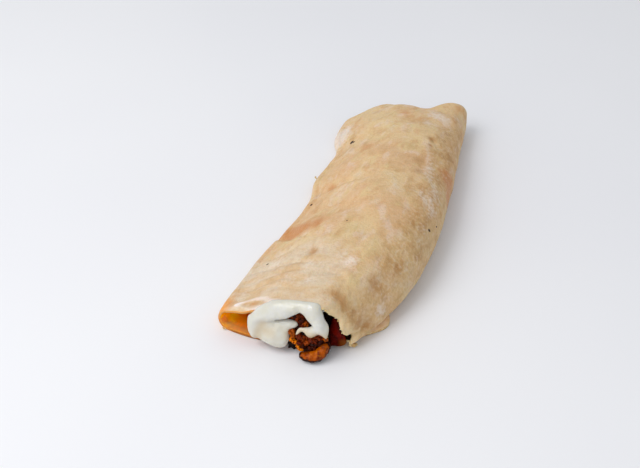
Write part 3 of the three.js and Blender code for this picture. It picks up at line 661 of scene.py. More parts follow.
class Finish:
    """A material built from nodes, with textures in millimetres on the piece's Object coordinates."""

    def __init__(self, name):
        self.material = bpy.data.materials.new(name)
        self.material.use_nodes = True
        self.nodes = self.material.node_tree.nodes
        self.links = self.material.node_tree.links
        self.shader = self.nodes["Principled BSDF"]
        self.where = self.nodes.new("ShaderNodeTexCoord").outputs["Object"]

    def put(self, socket, value):
        """Links a socket to another, or gives it a plain value."""
        if isinstance(value, bpy.types.NodeSocket):
            self.links.new(value, socket)
        else:
            socket.default_value = value

    def set(self, **values):
        """Sets the shader's inputs, named with underscores for spaces."""
        for name, value in values.items():
            self.put(self.shader.inputs[name.replace("_", " ")], value)

    def grain(self, size, detail=3.0, stretch=(1, 1, 1), warp=0.0):
        """Cloudy noise about 0.5, with lumps of a size in millimetres."""
        mapping = self.nodes.new("ShaderNodeMapping")
        self.put(mapping.inputs["Vector"], self.where)
        self.put(mapping.inputs["Scale"], stretch)
        texture = self.nodes.new("ShaderNodeTexNoise")
        self.put(texture.inputs["Vector"], mapping.outputs["Vector"])
        self.put(texture.inputs["Scale"], 1 / (size * MM))
        self.put(texture.inputs["Detail"], detail)
        self.put(texture.inputs["Distortion"], warp)
        return texture.outputs["Fac"]

    def painted(self, name):
        """A mark that is painted on the piece's mesh."""
        node = self.nodes.new("ShaderNodeAttribute")
        node.attribute_name = name
        return node.outputs["Fac"]

    def reckon(self, kind, a, b):
        """A sum, a product or the like of two values."""
        node = self.nodes.new("ShaderNodeMath")
        node.operation = kind
        self.put(node.inputs[0], a)
        self.put(node.inputs[1], b)
        return node.outputs["Value"]

    def ramp(self, value, low, high, start=0.0, end=1.0):
        """A smooth step from start at low to end at high."""
        node = self.nodes.new("ShaderNodeMapRange")
        node.interpolation_type = "SMOOTHSTEP"
        for name, number in (("From Min", low), ("From Max", high), ("To Min", start), ("To Max", end)):
            self.put(node.inputs[name], number)
        self.put(node.inputs["Value"], value)
        return node.outputs["Result"]

    def broken(self, mask, texture, ragged, low, high):
        """A painted mask with its border broken up by a texture."""
        return self.ramp(self.reckon("ADD", mask, self.broken_by(texture, ragged)), low, high)

    def broken_by(self, texture, ragged):
        """A texture's ups and downs about nothing."""
        node = self.nodes.new("ShaderNodeMath")
        node.operation = "MULTIPLY_ADD"
        for socket, value in zip(node.inputs, (texture, ragged, -0.5 * ragged)):
            self.put(socket, value)
        return node.outputs["Value"]

    def over(self, share, under, upper):
        """One colour laid over another by a share."""
        node = self.nodes.new("ShaderNodeMix")
        node.data_type = "RGBA"
        # The node's sockets for colours come after those for numbers and vectors
        for index, value in ((0, share), (6, under), (7, upper)):
            self.put(node.inputs[index], value)
        return node.outputs[2]

    def bumps(self, *layers):
        """Stacks bumps, each a height and its depth in millimetres."""
        normal = None
        for height, depth in layers:
            node = self.nodes.new("ShaderNodeBump")
            self.put(node.inputs["Height"], height)
            self.put(node.inputs["Distance"], depth * MM)
            if normal:
                self.links.new(normal, node.inputs["Normal"])
            normal = node.outputs["Normal"]
        self.links.new(normal, self.shader.inputs["Normal"])


def flatbread_finish():
    """The sheet's outer face."""
    f = Finish("flatbread")
    longer = (1, 0.62, 1)
    broad = f.grain(24, 2, longer)
    patch = f.grain(10, 3, longer, 0.3)
    blotch = f.grain(5, 4, longer, 0.3)
    pink = f.grain(7.3, 3, longer, 0.4)
    olive = f.grain(8.7, 3, longer, 0.4)
    tan = f.grain(6.2, 3, longer, 0.4)
    speck = f.grain(1.6, 4)
    fine = f.grain(0.8, 3)
    # Cloudy dough
    colour = f.over(f.ramp(broad, 0.36, 0.64), srgb(216, 177, 133), srgb(220, 191, 145))
    colour = f.over(f.ramp(patch, 0.5, 0.7, 0, 0.55), colour, srgb(202, 160, 112))
    colour = f.over(f.ramp(pink, 0.52, 0.68, 0, 0.5), colour, srgb(226, 203, 184))
    colour = f.over(f.ramp(olive, 0.52, 0.68, 0, 0.5), colour, srgb(217, 194, 142))
    colour = f.over(f.ramp(tan, 0.54, 0.7, 0, 0.4), colour, srgb(206, 156, 108))
    # Pale bands at the mouth
    bands = f.grain(8, 3, (0.3, 1, 1), 0.3)
    pale = f.over(f.ramp(bands, 0.4, 0.6), srgb(208, 178, 140), srgb(215, 197, 174))
    colour = f.over(f.ramp(f.painted("pale"), 0, 1, 0, 0.75), colour, pale)
    # Browner, blotchy side, and toasted, oily and amber spots, the toasted and oily ones partly painted
    # shade
    side = f.painted("side")
    browner = f.reckon("MULTIPLY", f.ramp(blotch, 0.5, 0.66), f.ramp(side, 0, 1, 0.2, 0.6))
    paler = f.reckon("MULTIPLY", f.ramp(blotch, 0.46, 0.3), f.ramp(side, 0, 1, 0.2, 0.55))
    colour = f.over(f.ramp(side, 0, 1, 0, 0.45), colour, srgb(198, 157, 103))
    colour = f.over(browner, colour, srgb(180, 136, 84))
    colour = f.over(paler, colour, srgb(214, 192, 162))
    # Toasted spots, with painted shade in the dent and along the pleat valley
    colour = f.over(f.broken(f.painted("toast_and_shade"), blotch, 0.9, 0.2, 1.1), colour, srgb(178, 130, 76))
    # Oily spots, and oil with painted shade behind the fold at the left
    oil_and_shade = f.reckon("ADD", f.painted("oil_and_shade"), f.broken_by(tan, 0.5))
    oil_and_shade = f.broken(oil_and_shade, blotch, 0.7, 0.2, 1.1)
    colour = f.over(oil_and_shade, colour, srgb(200, 136, 76))
    colour = f.over(f.broken(f.painted("amber"), blotch, 0.8, 0.1, 1.2), colour, srgb(234, 152, 48))
    # Flour, dust and specks
    flour = f.reckon("ADD", f.painted("flour"), f.broken_by(pink, 0.5))
    flour = f.reckon("ADD", flour, f.broken_by(blotch, 0.8))
    colour = f.over(f.broken(flour, speck, 0.9, 0.2, 1.1), colour, srgb(226, 209, 192))
    dust = f.reckon("ADD", f.painted("dust"), f.broken_by(pink, 0.8))
    colour = f.over(f.broken(dust, speck, 1.5, 0.3, 1.8), colour, srgb(220, 204, 188))
    strong = f.ramp(side, 0, 1, 0.14, 0.36)
    colour = f.over(f.reckon("MULTIPLY", f.ramp(speck, 0.54, 0.3), strong), colour, srgb(176, 134, 84))
    colour = f.over(f.reckon("MULTIPLY", f.ramp(speck, 0.5, 0.72), strong), colour, srgb(226, 208, 180))
    # Torn lip, smeared sauce and charred spots
    colour = f.over(f.broken(f.painted("crumb"), speck, 0.6, 0.15, 0.9), colour, srgb(224, 197, 154))
    smear = f.broken(f.painted("smear"), speck, 0.25, 0.15, 1.1)
    colour = f.over(smear, colour, srgb(238, 224, 218))
    colour = f.over(f.broken(f.painted("char"), fine, 0.5, 0.35, 0.6), colour, srgb(38, 18, 8))
    wet = f.reckon("MAXIMUM", oil_and_shade, smear)
    f.set(Base_Color=colour, Roughness=f.ramp(wet, 0.1, 0.9, 0.68, 0.42), Specular_IOR_Level=0.3)
    f.set(Subsurface_Weight=0.2, Subsurface_Radius=(1.0, 0.55, 0.28), Subsurface_Scale=2.0 * MM)
    f.bumps((blotch, 0.5), (speck, 0.3), (fine, 0.12))
    return f.material


def inner_finish():
    """The sheet's inner face: soaked amber and oily at the mouth, plain further on."""
    f = Finish("flatbread_inside")
    patch = f.grain(6, 3, warp=0.4)
    mottle = f.grain(1.8, 3)
    colour = f.over(f.ramp(patch, 0.3, 0.7), srgb(255, 162, 6), srgb(255, 182, 14))
    colour = f.over(f.broken(f.painted("shade"), mottle, 0.4, 0.0, 1.0), colour, srgb(246, 118, 4))
    pale = f.reckon("ADD", f.painted("low"), f.broken_by(mottle, 0.8))
    colour = f.over(f.ramp(pale, 0.4, 1.2), colour, srgb(182, 124, 66))
    plain = f.over(f.ramp(patch, 0.35, 0.7), srgb(240, 196, 146), srgb(252, 220, 186))
    colour = f.over(f.broken(f.painted("soak"), patch, 0.5, 0.3, 0.7), plain, colour)
    # Dark filling stain and painted shade on the inside at the right of the mouth
    colour = f.over(f.painted("stain_and_shade"), colour, srgb(60, 24, 8))
    f.set(Base_Color=colour, Roughness=f.ramp(patch, 0.3, 0.7, 0.4, 0.6))
    f.set(Subsurface_Weight=f.ramp(f.painted("soak"), 0, 0.5, 0.1, 1.0))
    f.set(Subsurface_Radius=(1.0, 0.6, 0.25), Subsurface_Scale=10.0 * MM, Specular_IOR_Level=0.05)
    f.bumps((patch, 0.4), (mottle, 0.25))
    return f.material


def crumb_finish():
    """The torn rim, where the pale layers of the dough show."""
    f = Finish("flatbread_rim")
    mottle = f.grain(1.6, 4)
    fine = f.grain(0.6, 3)
    colour = f.over(f.ramp(mottle, 0.35, 0.7), srgb(214, 178, 122), srgb(234, 214, 168))
    colour = f.over(f.broken(f.painted("soak"), mottle, 0.6, 0.2, 0.8), colour, srgb(206, 146, 80))
    oily = f.reckon("MULTIPLY", f.painted("soak"), f.painted("low"))
    colour = f.over(oily, colour, srgb(196, 122, 44))
    colour = f.over(f.reckon("MULTIPLY", oily, f.painted("shade")), colour, srgb(150, 86, 24))
    f.set(Base_Color=colour, Roughness=f.ramp(fine, 0.3, 0.7, 0.6, 0.8), Subsurface_Weight=0.2)
    f.set(Subsurface_Radius=(1.0, 0.55, 0.28), Subsurface_Scale=1.5 * MM, Specular_IOR_Level=0.2)
    f.bumps((mottle, 0.4), (fine, 0.2))
    return f.material


def sauce_finish():
    f = Finish("white_sauce")
    broad = f.grain(7, 2)
    fine = f.grain(1.2, 2)
    colour = f.over(f.ramp(broad, 0.35, 0.7), srgb(206, 203, 190), srgb(211, 210, 204))
    # Painted warm shade, creamier low on the body, in its trough and on the right arm
    colour = f.over(f.broken(f.painted("creamy_shade"), broad, 0.5, 0, 1), colour, srgb(196, 175, 139))
    f.set(Base_Color=colour, Roughness=f.ramp(fine, 0.3, 0.7, 0.14, 0.24), Subsurface_Weight=0.3)
    f.set(Subsurface_Radius=(1.0, 0.85, 0.55), Subsurface_Scale=1.5 * MM, Specular_IOR_Level=0.5)
    f.bumps((broad, 0.5), (fine, 0.04))
    return f.material


def filling_finish():
    f = Finish("spiced_filling")
    mottle = f.grain(1.3, 4)
    fine = f.grain(0.5, 3)
    tint = f.painted("tint")
    colour = f.over(f.ramp(tint, 0.0, 0.35), srgb(16, 2, 0), srgb(112, 34, 2))
    colour = f.over(f.ramp(tint, 0.35, 0.6), colour, srgb(148, 62, 8))
    colour = f.over(f.ramp(tint, 0.6, 1.0), colour, srgb(230, 126, 4))
    colour = f.over(f.ramp(mottle, 0.5, 0.66, 0, 0.7), colour, srgb(36, 6, 0))
    # Painted orange glints on the lighter pieces
    painted_glints = f.reckon("MULTIPLY", f.ramp(fine, 0.6, 0.78), f.ramp(tint, 0.1, 0.5, 0.05, 0.35))
    colour = f.over(painted_glints, colour, srgb(196, 90, 12))
    f.set(Base_Color=colour, Roughness=f.ramp(mottle, 0.3, 0.7, 0.2, 0.4), Specular_IOR_Level=0.1)
    f.bumps((mottle, 0.4), (fine, 0.12))
    return f.material


def strip_finish():
    """The flat red piece at the right of the mouth."""
    f = Finish("red_strip")
    streak = f.grain(2.2, 3, stretch=(1, 1, 0.35))
    fine = f.grain(0.7, 3)
    colour = f.over(f.ramp(streak, 0.35, 0.65), srgb(112, 12, 0), srgb(70, 5, 0))
    colour = f.over(f.broken(f.painted("oily"), streak, 0.5, 0.2, 1.0), colour, srgb(114, 56, 4))
    f.set(Base_Color=colour, Roughness=f.ramp(fine, 0.3, 0.7, 0.25, 0.4), Specular_IOR_Level=0.05)
    f.bumps((streak, 0.4), (fine, 0.08))
    return f.material


def chunk_finish():
    f = Finish("orange_chunk")
    patch = f.grain(4, 3, warp=0.5)
    mottle = f.grain(1.4, 3)
    fine = f.grain(0.5, 3)
    colour = f.over(f.ramp(patch, 0.35, 0.65), srgb(172, 80, 0), srgb(108, 36, 0))
    colour = f.over(f.ramp(mottle, 0.56, 0.74, 0, 0.45), colour, srgb(206, 122, 4))
    # Burnt browning, and painted shade along the crescent's foot
    colour = f.over(f.broken(f.painted("burnt_and_shade"), mottle, 1.0, 0.3, 0.8), colour, srgb(40, 8, 0))
    f.set(Base_Color=colour, Roughness=f.ramp(mottle, 0.3, 0.7, 0.16, 0.36), Specular_IOR_Level=0.1)
    f.set(Subsurface_Weight=0.1, Subsurface_Radius=(1.0, 0.4, 0.1), Subsurface_Scale=1.5 * MM)
    f.bumps((patch, 0.5), (mottle, 0.3), (fine, 0.1))
    return f.material


def new_piece(name, bm, finishes, replaced=None):
    """A mesh in millimetres of the roll's own frame becomes a piece of the shown object."""
    bmesh.ops.transform(bm, matrix=Matrix.Scale(MM, 4) @ Matrix.Translation(FRAME_SHIFT), verts=bm.verts)
    mesh = bpy.data.meshes.new(name)
    bm.to_mesh(mesh)
    bm.free()
    mesh.shade_smooth()
    for finish in finishes:
        mesh.materials.append(finish)
    piece = bpy.data.objects.new(name, mesh)
    bpy.context.scene.collection.objects.link(piece)
    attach(piece, "root")
    if replaced:
        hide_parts(replaced)
    return piece


def applied(piece):
    """Makes what the piece's modifiers give its own mesh."""
    shown = piece.evaluated_get(bpy.context.evaluated_depsgraph_get())
    mesh = bpy.data.meshes.new_from_object(shown)
    old = piece.data
    piece.modifiers.clear()
    piece.data = mesh
    bpy.data.meshes.remove(old)
    return mesh


def paint(mesh, name, values):
    """Gives each point of a mesh the strength of a mark."""
    layer = mesh.attributes.new(name, "FLOAT", "POINT")
    layer.data.foreach_set("value", np.asarray(values, np.float32))


def millimetres(mesh):
    """The mesh's points in millimetres of the roll's own frame."""
    points = np.empty(len(mesh.vertices) * 3, np.float32)
    mesh.vertices.foreach_get("co", points)
    return points.reshape(-1, 3) / MM - FRAME_SHIFT


def flank(u, y):
    """How far each point of the sheet belongs to the roll's steep side."""
    shoulder = u - LATER_AT_MOUTH * fading(y, *LATER_AT_MOUTH_ALONG)
    shoulder -= LATER_AT_END * step(y, *LATER_AT_END_ALONG)
    # The side's browning eases off at its foot as painted light against the shade there
    return step(shoulder, *SIDE_START) * (1 - SIDE_EASE * step(u, *SIDE_EASES)) * fading(u, *TOP_END)


def flap_depth(x, y):
    """How deep the pale flap at the far left lies."""
    (from_x, from_y), (to_x, to_y), depth, soft = FLAP_LINE
    beyond = from_x + (y - from_y) * (to_x - from_x) / (to_y - from_y) - x
    begun = step(y, from_y - FLAP_BEGINS, from_y + FLAP_BEGINS)
    return depth * step(beyond, -soft, soft) * begun * fading(y, to_y, to_y + FLAP_ENDS)


def sheet_relief(plain, u, mouth, side):
    """How far the creased top layer lies out of the plain wound sheet."""
    x, y, _ = plain.T
    warp_x = x + WANDER * clouds(plain, WANDER_SIZE, 1)
    warp_y = y + WANDER * clouds(plain, WANDER_SIZE, 2)
    relief = uneven(plain, TOP_BUMPS)
    relief += (TOP_GRIT + SIDE_GRIT * side) * clouds(plain, GRIT_SIZE, 5)
    for line in CREASES:
        relief += crease(warp_x, warp_y, *line)
    for line in STEPS:
        relief += dip(warp_x, warp_y, *line)
    relief += LIP_GRIT * step(u, *SIDE_START) * bell(mouth, LIP_REACH) * clouds(plain, GRIT_SIZE, 9)
    relief -= flap_depth(x, y)
    folded = np.stack([warp_x / FINE_FOLD_LONG, warp_y - FINE_FOLD_SLANT * x, 0 * x], axis=-1)
    at_mouth = step(x, *FINE_FOLD_LEFT) * fading(x, *FINE_FOLD_RIGHT) * fading(y, *FINE_FOLD_ALONG)
    relief += FINE_FOLD * clouds(folded, FINE_FOLD_SIZE, 8) * at_mouth
    dent_x, dent_y, height, reach = MOUTH_DENT
    return relief + height * bell(np.hypot(warp_x - dent_x, warp_y - dent_y), reach)


def tear_lip(points, u, mouth, torn):
    """Moves the sheet's edge at the mouth to and fro along the roll, more so where it is torn."""
    wave = uneven(points, LIP_WAVES) + torn * uneven(points, TORN_WAVES)
    points[:, 1] += wave * step(u, *LIP_WAVE_START) * bell(mouth, LIP_WAVE_REACH)
    for at, half, depth in LIP_GAPS:
        points[:, 1] += depth * bell(u - at, half) * bell(mouth, 2 * depth)


def sheet_marks(plain, points, u, mouth, torn):
    """Strengths of the sheet's marks, placed on the plain wound sheet or on the creased one."""
    x, y, z = plain.T
    upper = (u > MARKED[0]) & (u < MARKED[1])
    amber = bell(np.linalg.norm(points - AMBER_CORNER, axis=1), AMBER_REACH)
    return {
        "toast_and_shade": np.maximum(spots(points, upper, TOASTED_AND_SHADED), streaks(x, y, TOAST_AND_SHADE_STREAKS) * upper),
        "flour": spots(points, upper, FLOURED),
        "dust": streaks(x, y, DUST_STREAKS) * upper,
        # Oily spots, and oil with painted shade behind the fold
        "oil_and_shade": np.maximum(spots(points, upper, OILED), streaks(x, y, OIL_AND_SHADE_STREAKS) * upper),
        "char": spots(points, upper, CHARRED),
        "pale": fading(y + uneven(points, PALE_WAVES), *PALE_ALONG) * fading(x, *PALE_ACROSS),
        "crumb": TORN_TINT * torn * bell(mouth, TORN_TINT_REACH),
        "amber": AMBER_TINT * amber,
        "soak": fading(x, *SOAK_ACROSS) * fading(mouth, *SOAK_DEEP),
        "shade": step(x, *SHADE_ACROSS),
        "low": fading(z, *LOW_HEIGHT) * fading(mouth, *LOW_DEEP),
        "stain_and_shade": step(x, *STAIN_AND_SHADE_LEFT) * fading(x, *STAIN_AND_SHADE_RIGHT) * fading(mouth, *STAIN_AND_SHADE_DEEP),
    }


def make_paratha():
    """The wound sheet of flatbread; returns it with the points of its torn lip."""
    u, v = np.meshgrid(np.arange(ROUND + 1) / ROUND, np.arange(ROWS + 1) / ROWS)
    grid = sheet_middle(u, v)
    plain = grid.reshape(-1, 3)
    x, y, _ = plain.T
    u, v = u.ravel(), v.ravel()
    place = place_along(v)
    # Distance from the mouth's edge
    mouth = place * LENGTH
    side = flank(u, y)
    top = step(u, *TOP_START) * fading(u, *TOP_END)
    torn = step(u, *TORN_START) * fading(u, *TORN_END)
    smear = streaks(x, y, SMEARS) * top

    relief = sheet_relief(plain, u, mouth, side)
    relief *= top * standing(place) * mix(EDGE_RELIEF, 1, step(mouth, 0, EDGE_REACH))
    lifted = step(x, *LIP_LIFT_LEFT) * fading(x, *LIP_LIFT_RIGHT) * bell(mouth, LIP_REACH) * top
    relief += LIP_LIFT * lifted + FILM_THICK * smear
    points = plain + outward(grid).reshape(-1, 3) * relief[:, None]
    tear_lip(points, u, mouth, torn)
    marks = sheet_marks(plain, points, u, mouth, torn)
    marks["side"] = side
    marks["smear"] = smear
    rim = np.minimum(np.minimum(mouth, (1 - v) * ROUGH_LENGTH), np.minimum(u, 1 - u) * ROUGH_GIRTH)
    thick = mix(RIM_THIN, 1, step(rim, 0, RIM_WIDE))

    bm = bmesh.new()
    bmesh.ops.create_grid(bm, x_segments=ROUND, y_segments=ROWS, size=0.5)
    shares = np.array([vert.co[:2] for vert in bm.verts]) + 0.5
    column = np.rint(shares[:, 0] * ROUND).astype(int)
    row = np.rint(shares[:, 1] * ROWS).astype(int)
    at = row * (ROUND + 1) + column
    for vert, point in zip(bm.verts, points[at]):
        vert.co = point
    finishes = [flatbread_finish(), inner_finish(), crumb_finish()]
    piece = new_piece("paratha_sheet", bm, finishes, "paratha")
    for name, values in marks.items():
        paint(piece.data, name, values[at])
    group = piece.vertex_groups.new(name="thickness")
    for index, weight in enumerate(thick[at]):
        group.add([index], float(weight), "REPLACE")
    shell = piece.modifiers.new("sheet", "SOLIDIFY")
    shell.thickness = SHEET * MM
    shell.offset = 0
    shell.vertex_group = group.name
    shell.thickness_vertex_group = 0
    shell.material_offset = 1
    shell.material_offset_rim = 2
    return piece, points[(mouth == 0) & (u > SCRAPPED[0]) & (u < SCRAPPED[1])]


def beads(bm, strand):
    """Balls closely set along a strand of places and radii."""
    values = np.array(strand, float)
    run = run_along(values[:, :3])
    line = curve(run, values)
    reach = 0.0
    while reach <= run[-1]:
        x, y, z, radius = line(np.array([reach]))[0]
        place = Matrix.Translation((x, y, z))
        bmesh.ops.create_icosphere(bm, subdivisions=2, radius=radius, matrix=place)
        reach += BEAD_SPACING * radius


def melted(piece, voxel, smoothing):
    """Runs the balls of a piece together into one smooth skin."""
    skin = piece.modifiers.new("skin", "REMESH")
    skin.mode = "VOXEL"
    skin.voxel_size = voxel * MM
    ease = piece.modifiers.new("ease", "SMOOTH")
    ease.factor = 0.5
    ease.iterations = smoothing
    mesh = applied(piece)
    mesh.shade_smooth()
    return mesh


def roughen(mesh, layers):
    """Moves a skin in and out by layers of noise."""
    points = millimetres(mesh)
    normals = np.empty(len(mesh.vertices) * 3, np.float32)
    mesh.vertices.foreach_get("normal", normals)
    points = points + normals.reshape(-1, 3) * uneven(points, layers)[:, None]
    mesh.vertices.foreach_set("co", ((points + FRAME_SHIFT) * MM).astype(np.float32).ravel())
    mesh.update()


def under_top(share, place, depth):
    """Points a depth below the top layer's inner face, for shares across the top and along the roll."""
    u = mix(*STRETCHES["top"], share)
    v = BODY_SHARE * (place / END_PLACE) ** (1 / MOUTH_CLOSER)
    nudge = 1e-3
    round_way = sheet_middle(u + nudge, v) - sheet_middle(u - nudge, v)
    long_way = sheet_middle(u, v + nudge) - sheet_middle(u, v - nudge)
    normal = np.cross(round_way, long_way)
    normal /= np.linalg.norm(normal, axis=-1, keepdims=True)
    return sheet_middle(u, v) - normal * (SHEET / 2 + UNDER_GAP + depth)[..., None]


def bent_block(bend, cuts):
    """Starts a piece with a cube cut into a grid and bent by a function of its three shares from 0 to 1."""
    bm = bmesh.new()
    bmesh.ops.create_cube(bm, size=1)
    bmesh.ops.subdivide_edges(bm, edges=bm.edges, cuts=cuts, use_grid_fill=True)
    shares = np.array([vert.co for vert in bm.verts]) + 0.5
    for vert, point in zip(bm.verts, bend(*shares.T)):
        vert.co = point
    return bm


def ribbon_depth(share, place):
    """How deep the sauce inside the roll is."""
    left = step(share, RIBBON_ACROSS[0], RIBBON_FULL[0])
    right = fading(share, RIBBON_FULL[1], RIBBON_ACROSS[1])
    return RIBBON_DEPTH * left * right * fading(place, RIBBON_FADE, RIBBON_ALONG[1])


def ribbon(u, v, w):
    """The ribbon of sauce under the top layer, from shares across, along and up."""
    share, place = mix(*RIBBON_ACROSS, u), mix(*RIBBON_ALONG, v)
    return under_top(share, place, (ribbon_depth(share, place) + RIBBON_RIM) * (1 - w))


def core(u, v, w):
    """The body of the filling below that ribbon, which leaves a pocket at the left of the mouth."""
    place = mix(*CORE_ALONG, v)
    left = mix(POCKET_SHARE, CORE_ACROSS[0], step(place, 0, POCKET_DEPTH))
    share = mix(left, CORE_ACROSS[1], u)
    points = under_top(share, place, ribbon_depth(share, place) + CORE_SINK)
    floor = INNER_FLOOR + SHEET / 2 + UNDER_GAP
    points[:, 2] = mix(floor, np.maximum(points[:, 2], floor + 1), w)
    return points


def to_outline(places, corners):
    """Distances of places to a closed outline, and which of them lie inside it."""
    starts, ends = corners, np.roll(corners, -1, axis=0)
    ways = ends - starts
    offsets = places[:, None] - starts
    t = np.clip((offsets * ways).sum(axis=-1) / (ways * ways).sum(axis=-1), 0, 1)
    gaps = np.linalg.norm(offsets - t[..., None] * ways, axis=-1).min(axis=1)
    height = places[:, None, 1]
    crosses = (starts[:, 1] > height) != (ends[:, 1] > height)
    rise = np.where(ways[:, 1] == 0, 1, ways[:, 1])
    at = starts[:, 0] + (height - starts[:, 1]) / rise * ways[:, 0]
    return gaps, (crosses & (at > places[:, None, 0])).sum(axis=1) % 2 == 1


def poured(bm, outline, half_thick, place):
    """Fills an outline, across and up, with balls that just fit; place gives where they lie along."""
    corners = np.array(outline, float)
    low, high = corners.min(axis=0), corners.max(axis=0)
    grid = np.meshgrid(np.arange(low[0], high[0], POUR_STEP), np.arange(low[1], high[1], POUR_STEP))
    middles = np.stack(grid, axis=-1).reshape(-1, 2)
    gaps, within = to_outline(middles, corners)
    kept = np.empty((0, 2))
    for index in np.argsort(-np.where(within, gaps, 0)):
        radius = min(gaps[index], half_thick)
        if not within[index] or radius < POUR_SMALLEST:
            break
        near = np.linalg.norm(kept - middles[index], axis=1)
        if (near > POUR_SPACING * radius).all():
            kept = np.vstack([kept, middles[index]])
            x, z = middles[index]
            rounds = 1 if radius < POUR_FINER else 2
            matrix = Matrix.Translation((x, place(x, z), z))
            bmesh.ops.create_icosphere(bm, subdivisions=rounds, radius=radius, matrix=matrix)


def drape_plane(z):
    """Place along the roll of the sauce's leaning plane."""
    return DRAPE_FOOT + DRAPE_LEAN * (z - DRAPE_FOOT_HEIGHT)


def band_place(x, z):
    """The band stands forward of the plane, but for its left end."""
    return drape_plane(z) - BAND_FORWARD * step(x, *BAND_FORWARD_ACROSS)


def trough(z):
    """Place across of the hollow between the left edge and the middle of the sauce's body."""
    return TROUGH_ACROSS - TROUGH_SLANT * (TROUGH_HEIGHT - z)


def body_place(x, z):
    """Set back under the band, with a trough between two swells that runs down to the left."""
    back = mix(*BODY_BACK, step(z, *BODY_BACK_UP))
    back *= step(x, *BODY_BACK_ACROSS) * mix(1, STUB_BACK, step(x, *STUB_ACROSS))
    swells = -SWELL * math.cos((x - trough(z)) * SWELL_OFTEN)
    swells *= step(z, *SWELL_FOOT) * fading(z, *SWELL_HEAD)
    return drape_plane(z) + back - swells


def make_sauce():
    bm = bent_block(ribbon, RIBBON_CUTS)
    poured(bm, BAND, BAND_HALF_THICK, band_place)
    poured(bm, BODY, BODY_HALF_THICK, body_place)
    piece = new_piece("white_drape", bm, [sauce_finish()], "sauce")
    mesh = melted(piece, SAUCE_VOXEL, SAUCE_SMOOTHING)
    roughen(mesh, SAUCE_BUMPS)
    # Painted warm shade, creamier low on the body, in its trough and on the arm, but for a painted
    # highlight spot
    x, _, z = millimetres(mesh).T
    lower = fading(z, *CREAMY_SHADE_UP) * mix(CREAMY_SHADE_LEFT, 1, step(x, *CREAMY_SHADE_ACROSS))
    lower *= mix(CREAMY_SHADE_FOOT, 1, step(z, *CREAMY_SHADE_FOOT_UP))
    from_spot = np.hypot(x - HIGHLIGHT_SPOT[0], z - HIGHLIGHT_SPOT[1])
    lower *= 1 - HIGHLIGHT_SPOT_SHARE * bell(from_spot, HIGHLIGHT_SPOT_REACH)
    hollow = CREAMY_SHADE_TROUGH * bell(x - trough(z), CREAMY_SHADE_TROUGH_HALF) * fading(z, *CREAMY_SHADE_TROUGH_UP)
    arm = CREAMY_SHADE_ARM * step(x, *CREAMY_SHADE_ARM_ACROSS) * fading(z, *CREAMY_SHADE_ARM_UP)
    paint(mesh, "creamy_shade", np.maximum(np.maximum(lower, hollow), arm))


def lump(bm, tints, rng, centre, size, tint, rounds):
    """A craggy piece of filling."""
    made = bmesh.ops.create_icosphere(bm, subdivisions=rounds, radius=1)["verts"]
    apart = Vector([rng.random() for _ in range(3)]) * 50
    for vert in made:
        out = 1
        for amount, often in CRAGS:
            out += amount * noise.noise(vert.co * often + apart)
        vert.co = Vector(c * s * out for c, s in zip(vert.co, size))
        vert[tints] = tint
    angle = rng.uniform(-LUMP_TURN, LUMP_TURN)
    axis = Vector([rng.gauss(0, 1) for _ in range(3)])
    turn = Matrix.Rotation(angle, 4, axis)
    bmesh.ops.transform(bm, matrix=Matrix.Translation(centre) @ turn, verts=made)
    low = min(vert.co.z for vert in made)
    if low < LUMP_FLOOR:
        bmesh.ops.translate(bm, vec=(0, 0, LUMP_FLOOR - low), verts=made)


def make_filling():
    rng = random.Random(5)
    bm = bent_block(core, CORE_CUTS)
    tints = bm.verts.layers.float.new("tint")
    for vert in bm.verts:
        # Orange at the pocket's back, oily and with a painted amber glow
        vert[tints] = float(fading(vert.co.x, *CORE_OILY_GLOW_ACROSS) * fading(vert.co.y, *CORE_OILY_GLOW_ALONG))
    for centre, size, tint in PIECES:
        lump(bm, tints, rng, centre, size, tint, SHOWN_ROUNDS)
    middle, spread, count, sizes = BEHIND
    for _ in range(count):
        centre = [m + s * rng.uniform(-1, 1) for m, s in zip(middle, spread)]
        size = rng.uniform(*sizes)
        halves = [size * rng.uniform(*BEHIND_STRETCH) for _ in range(3)]
        lump(bm, tints, rng, centre, halves, rng.uniform(*BEHIND_TINTS), BEHIND_ROUNDS)
    for _ in range(CRUMBS):
        centre, size, tint = rng.choice(PIECES)
        way = Vector((rng.gauss(0, 1), -abs(rng.gauss(0, 1)), rng.gauss(0, 1))).normalized()
        at = [c + s * w for c, s, w in zip(centre, size, way)]
        size = rng.uniform(*CRUMB_SIZES)
        halves = [size * rng.uniform(*CRUMB_STRETCH) for _ in range(3)]
        lump(bm, tints, rng, at, halves, rng.uniform(*CRUMB_TINTS) * tint, CRUMB_ROUNDS)
    lump(bm, tints, rng, *BESIDE_SAUCE, BEHIND_ROUNDS)
    new_piece("filling_heap", bm, [filling_finish()], "filling")


def strip_place(x, z):
    """The red piece stands upright and waves a little along the roll."""
    return STRIP_PLACE + STRIP_WAVE * math.sin(z * STRIP_WAVE_OFTEN)


def make_strip():
    bm = bmesh.new()
    poured(bm, STRIP, STRIP_HALF_THICK, strip_place)
    piece = new_piece("red_strip", bm, [strip_finish()])
    mesh = melted(piece, SMALL_VOXEL, STRIP_SMOOTHING)
    roughen(mesh, STRIP_BUMPS)
    x, _, z = millimetres(mesh).T
    paint(mesh, "oily", step(x, *STRIP_OILY_ACROSS) * fading(z, *STRIP_OILY_UP))


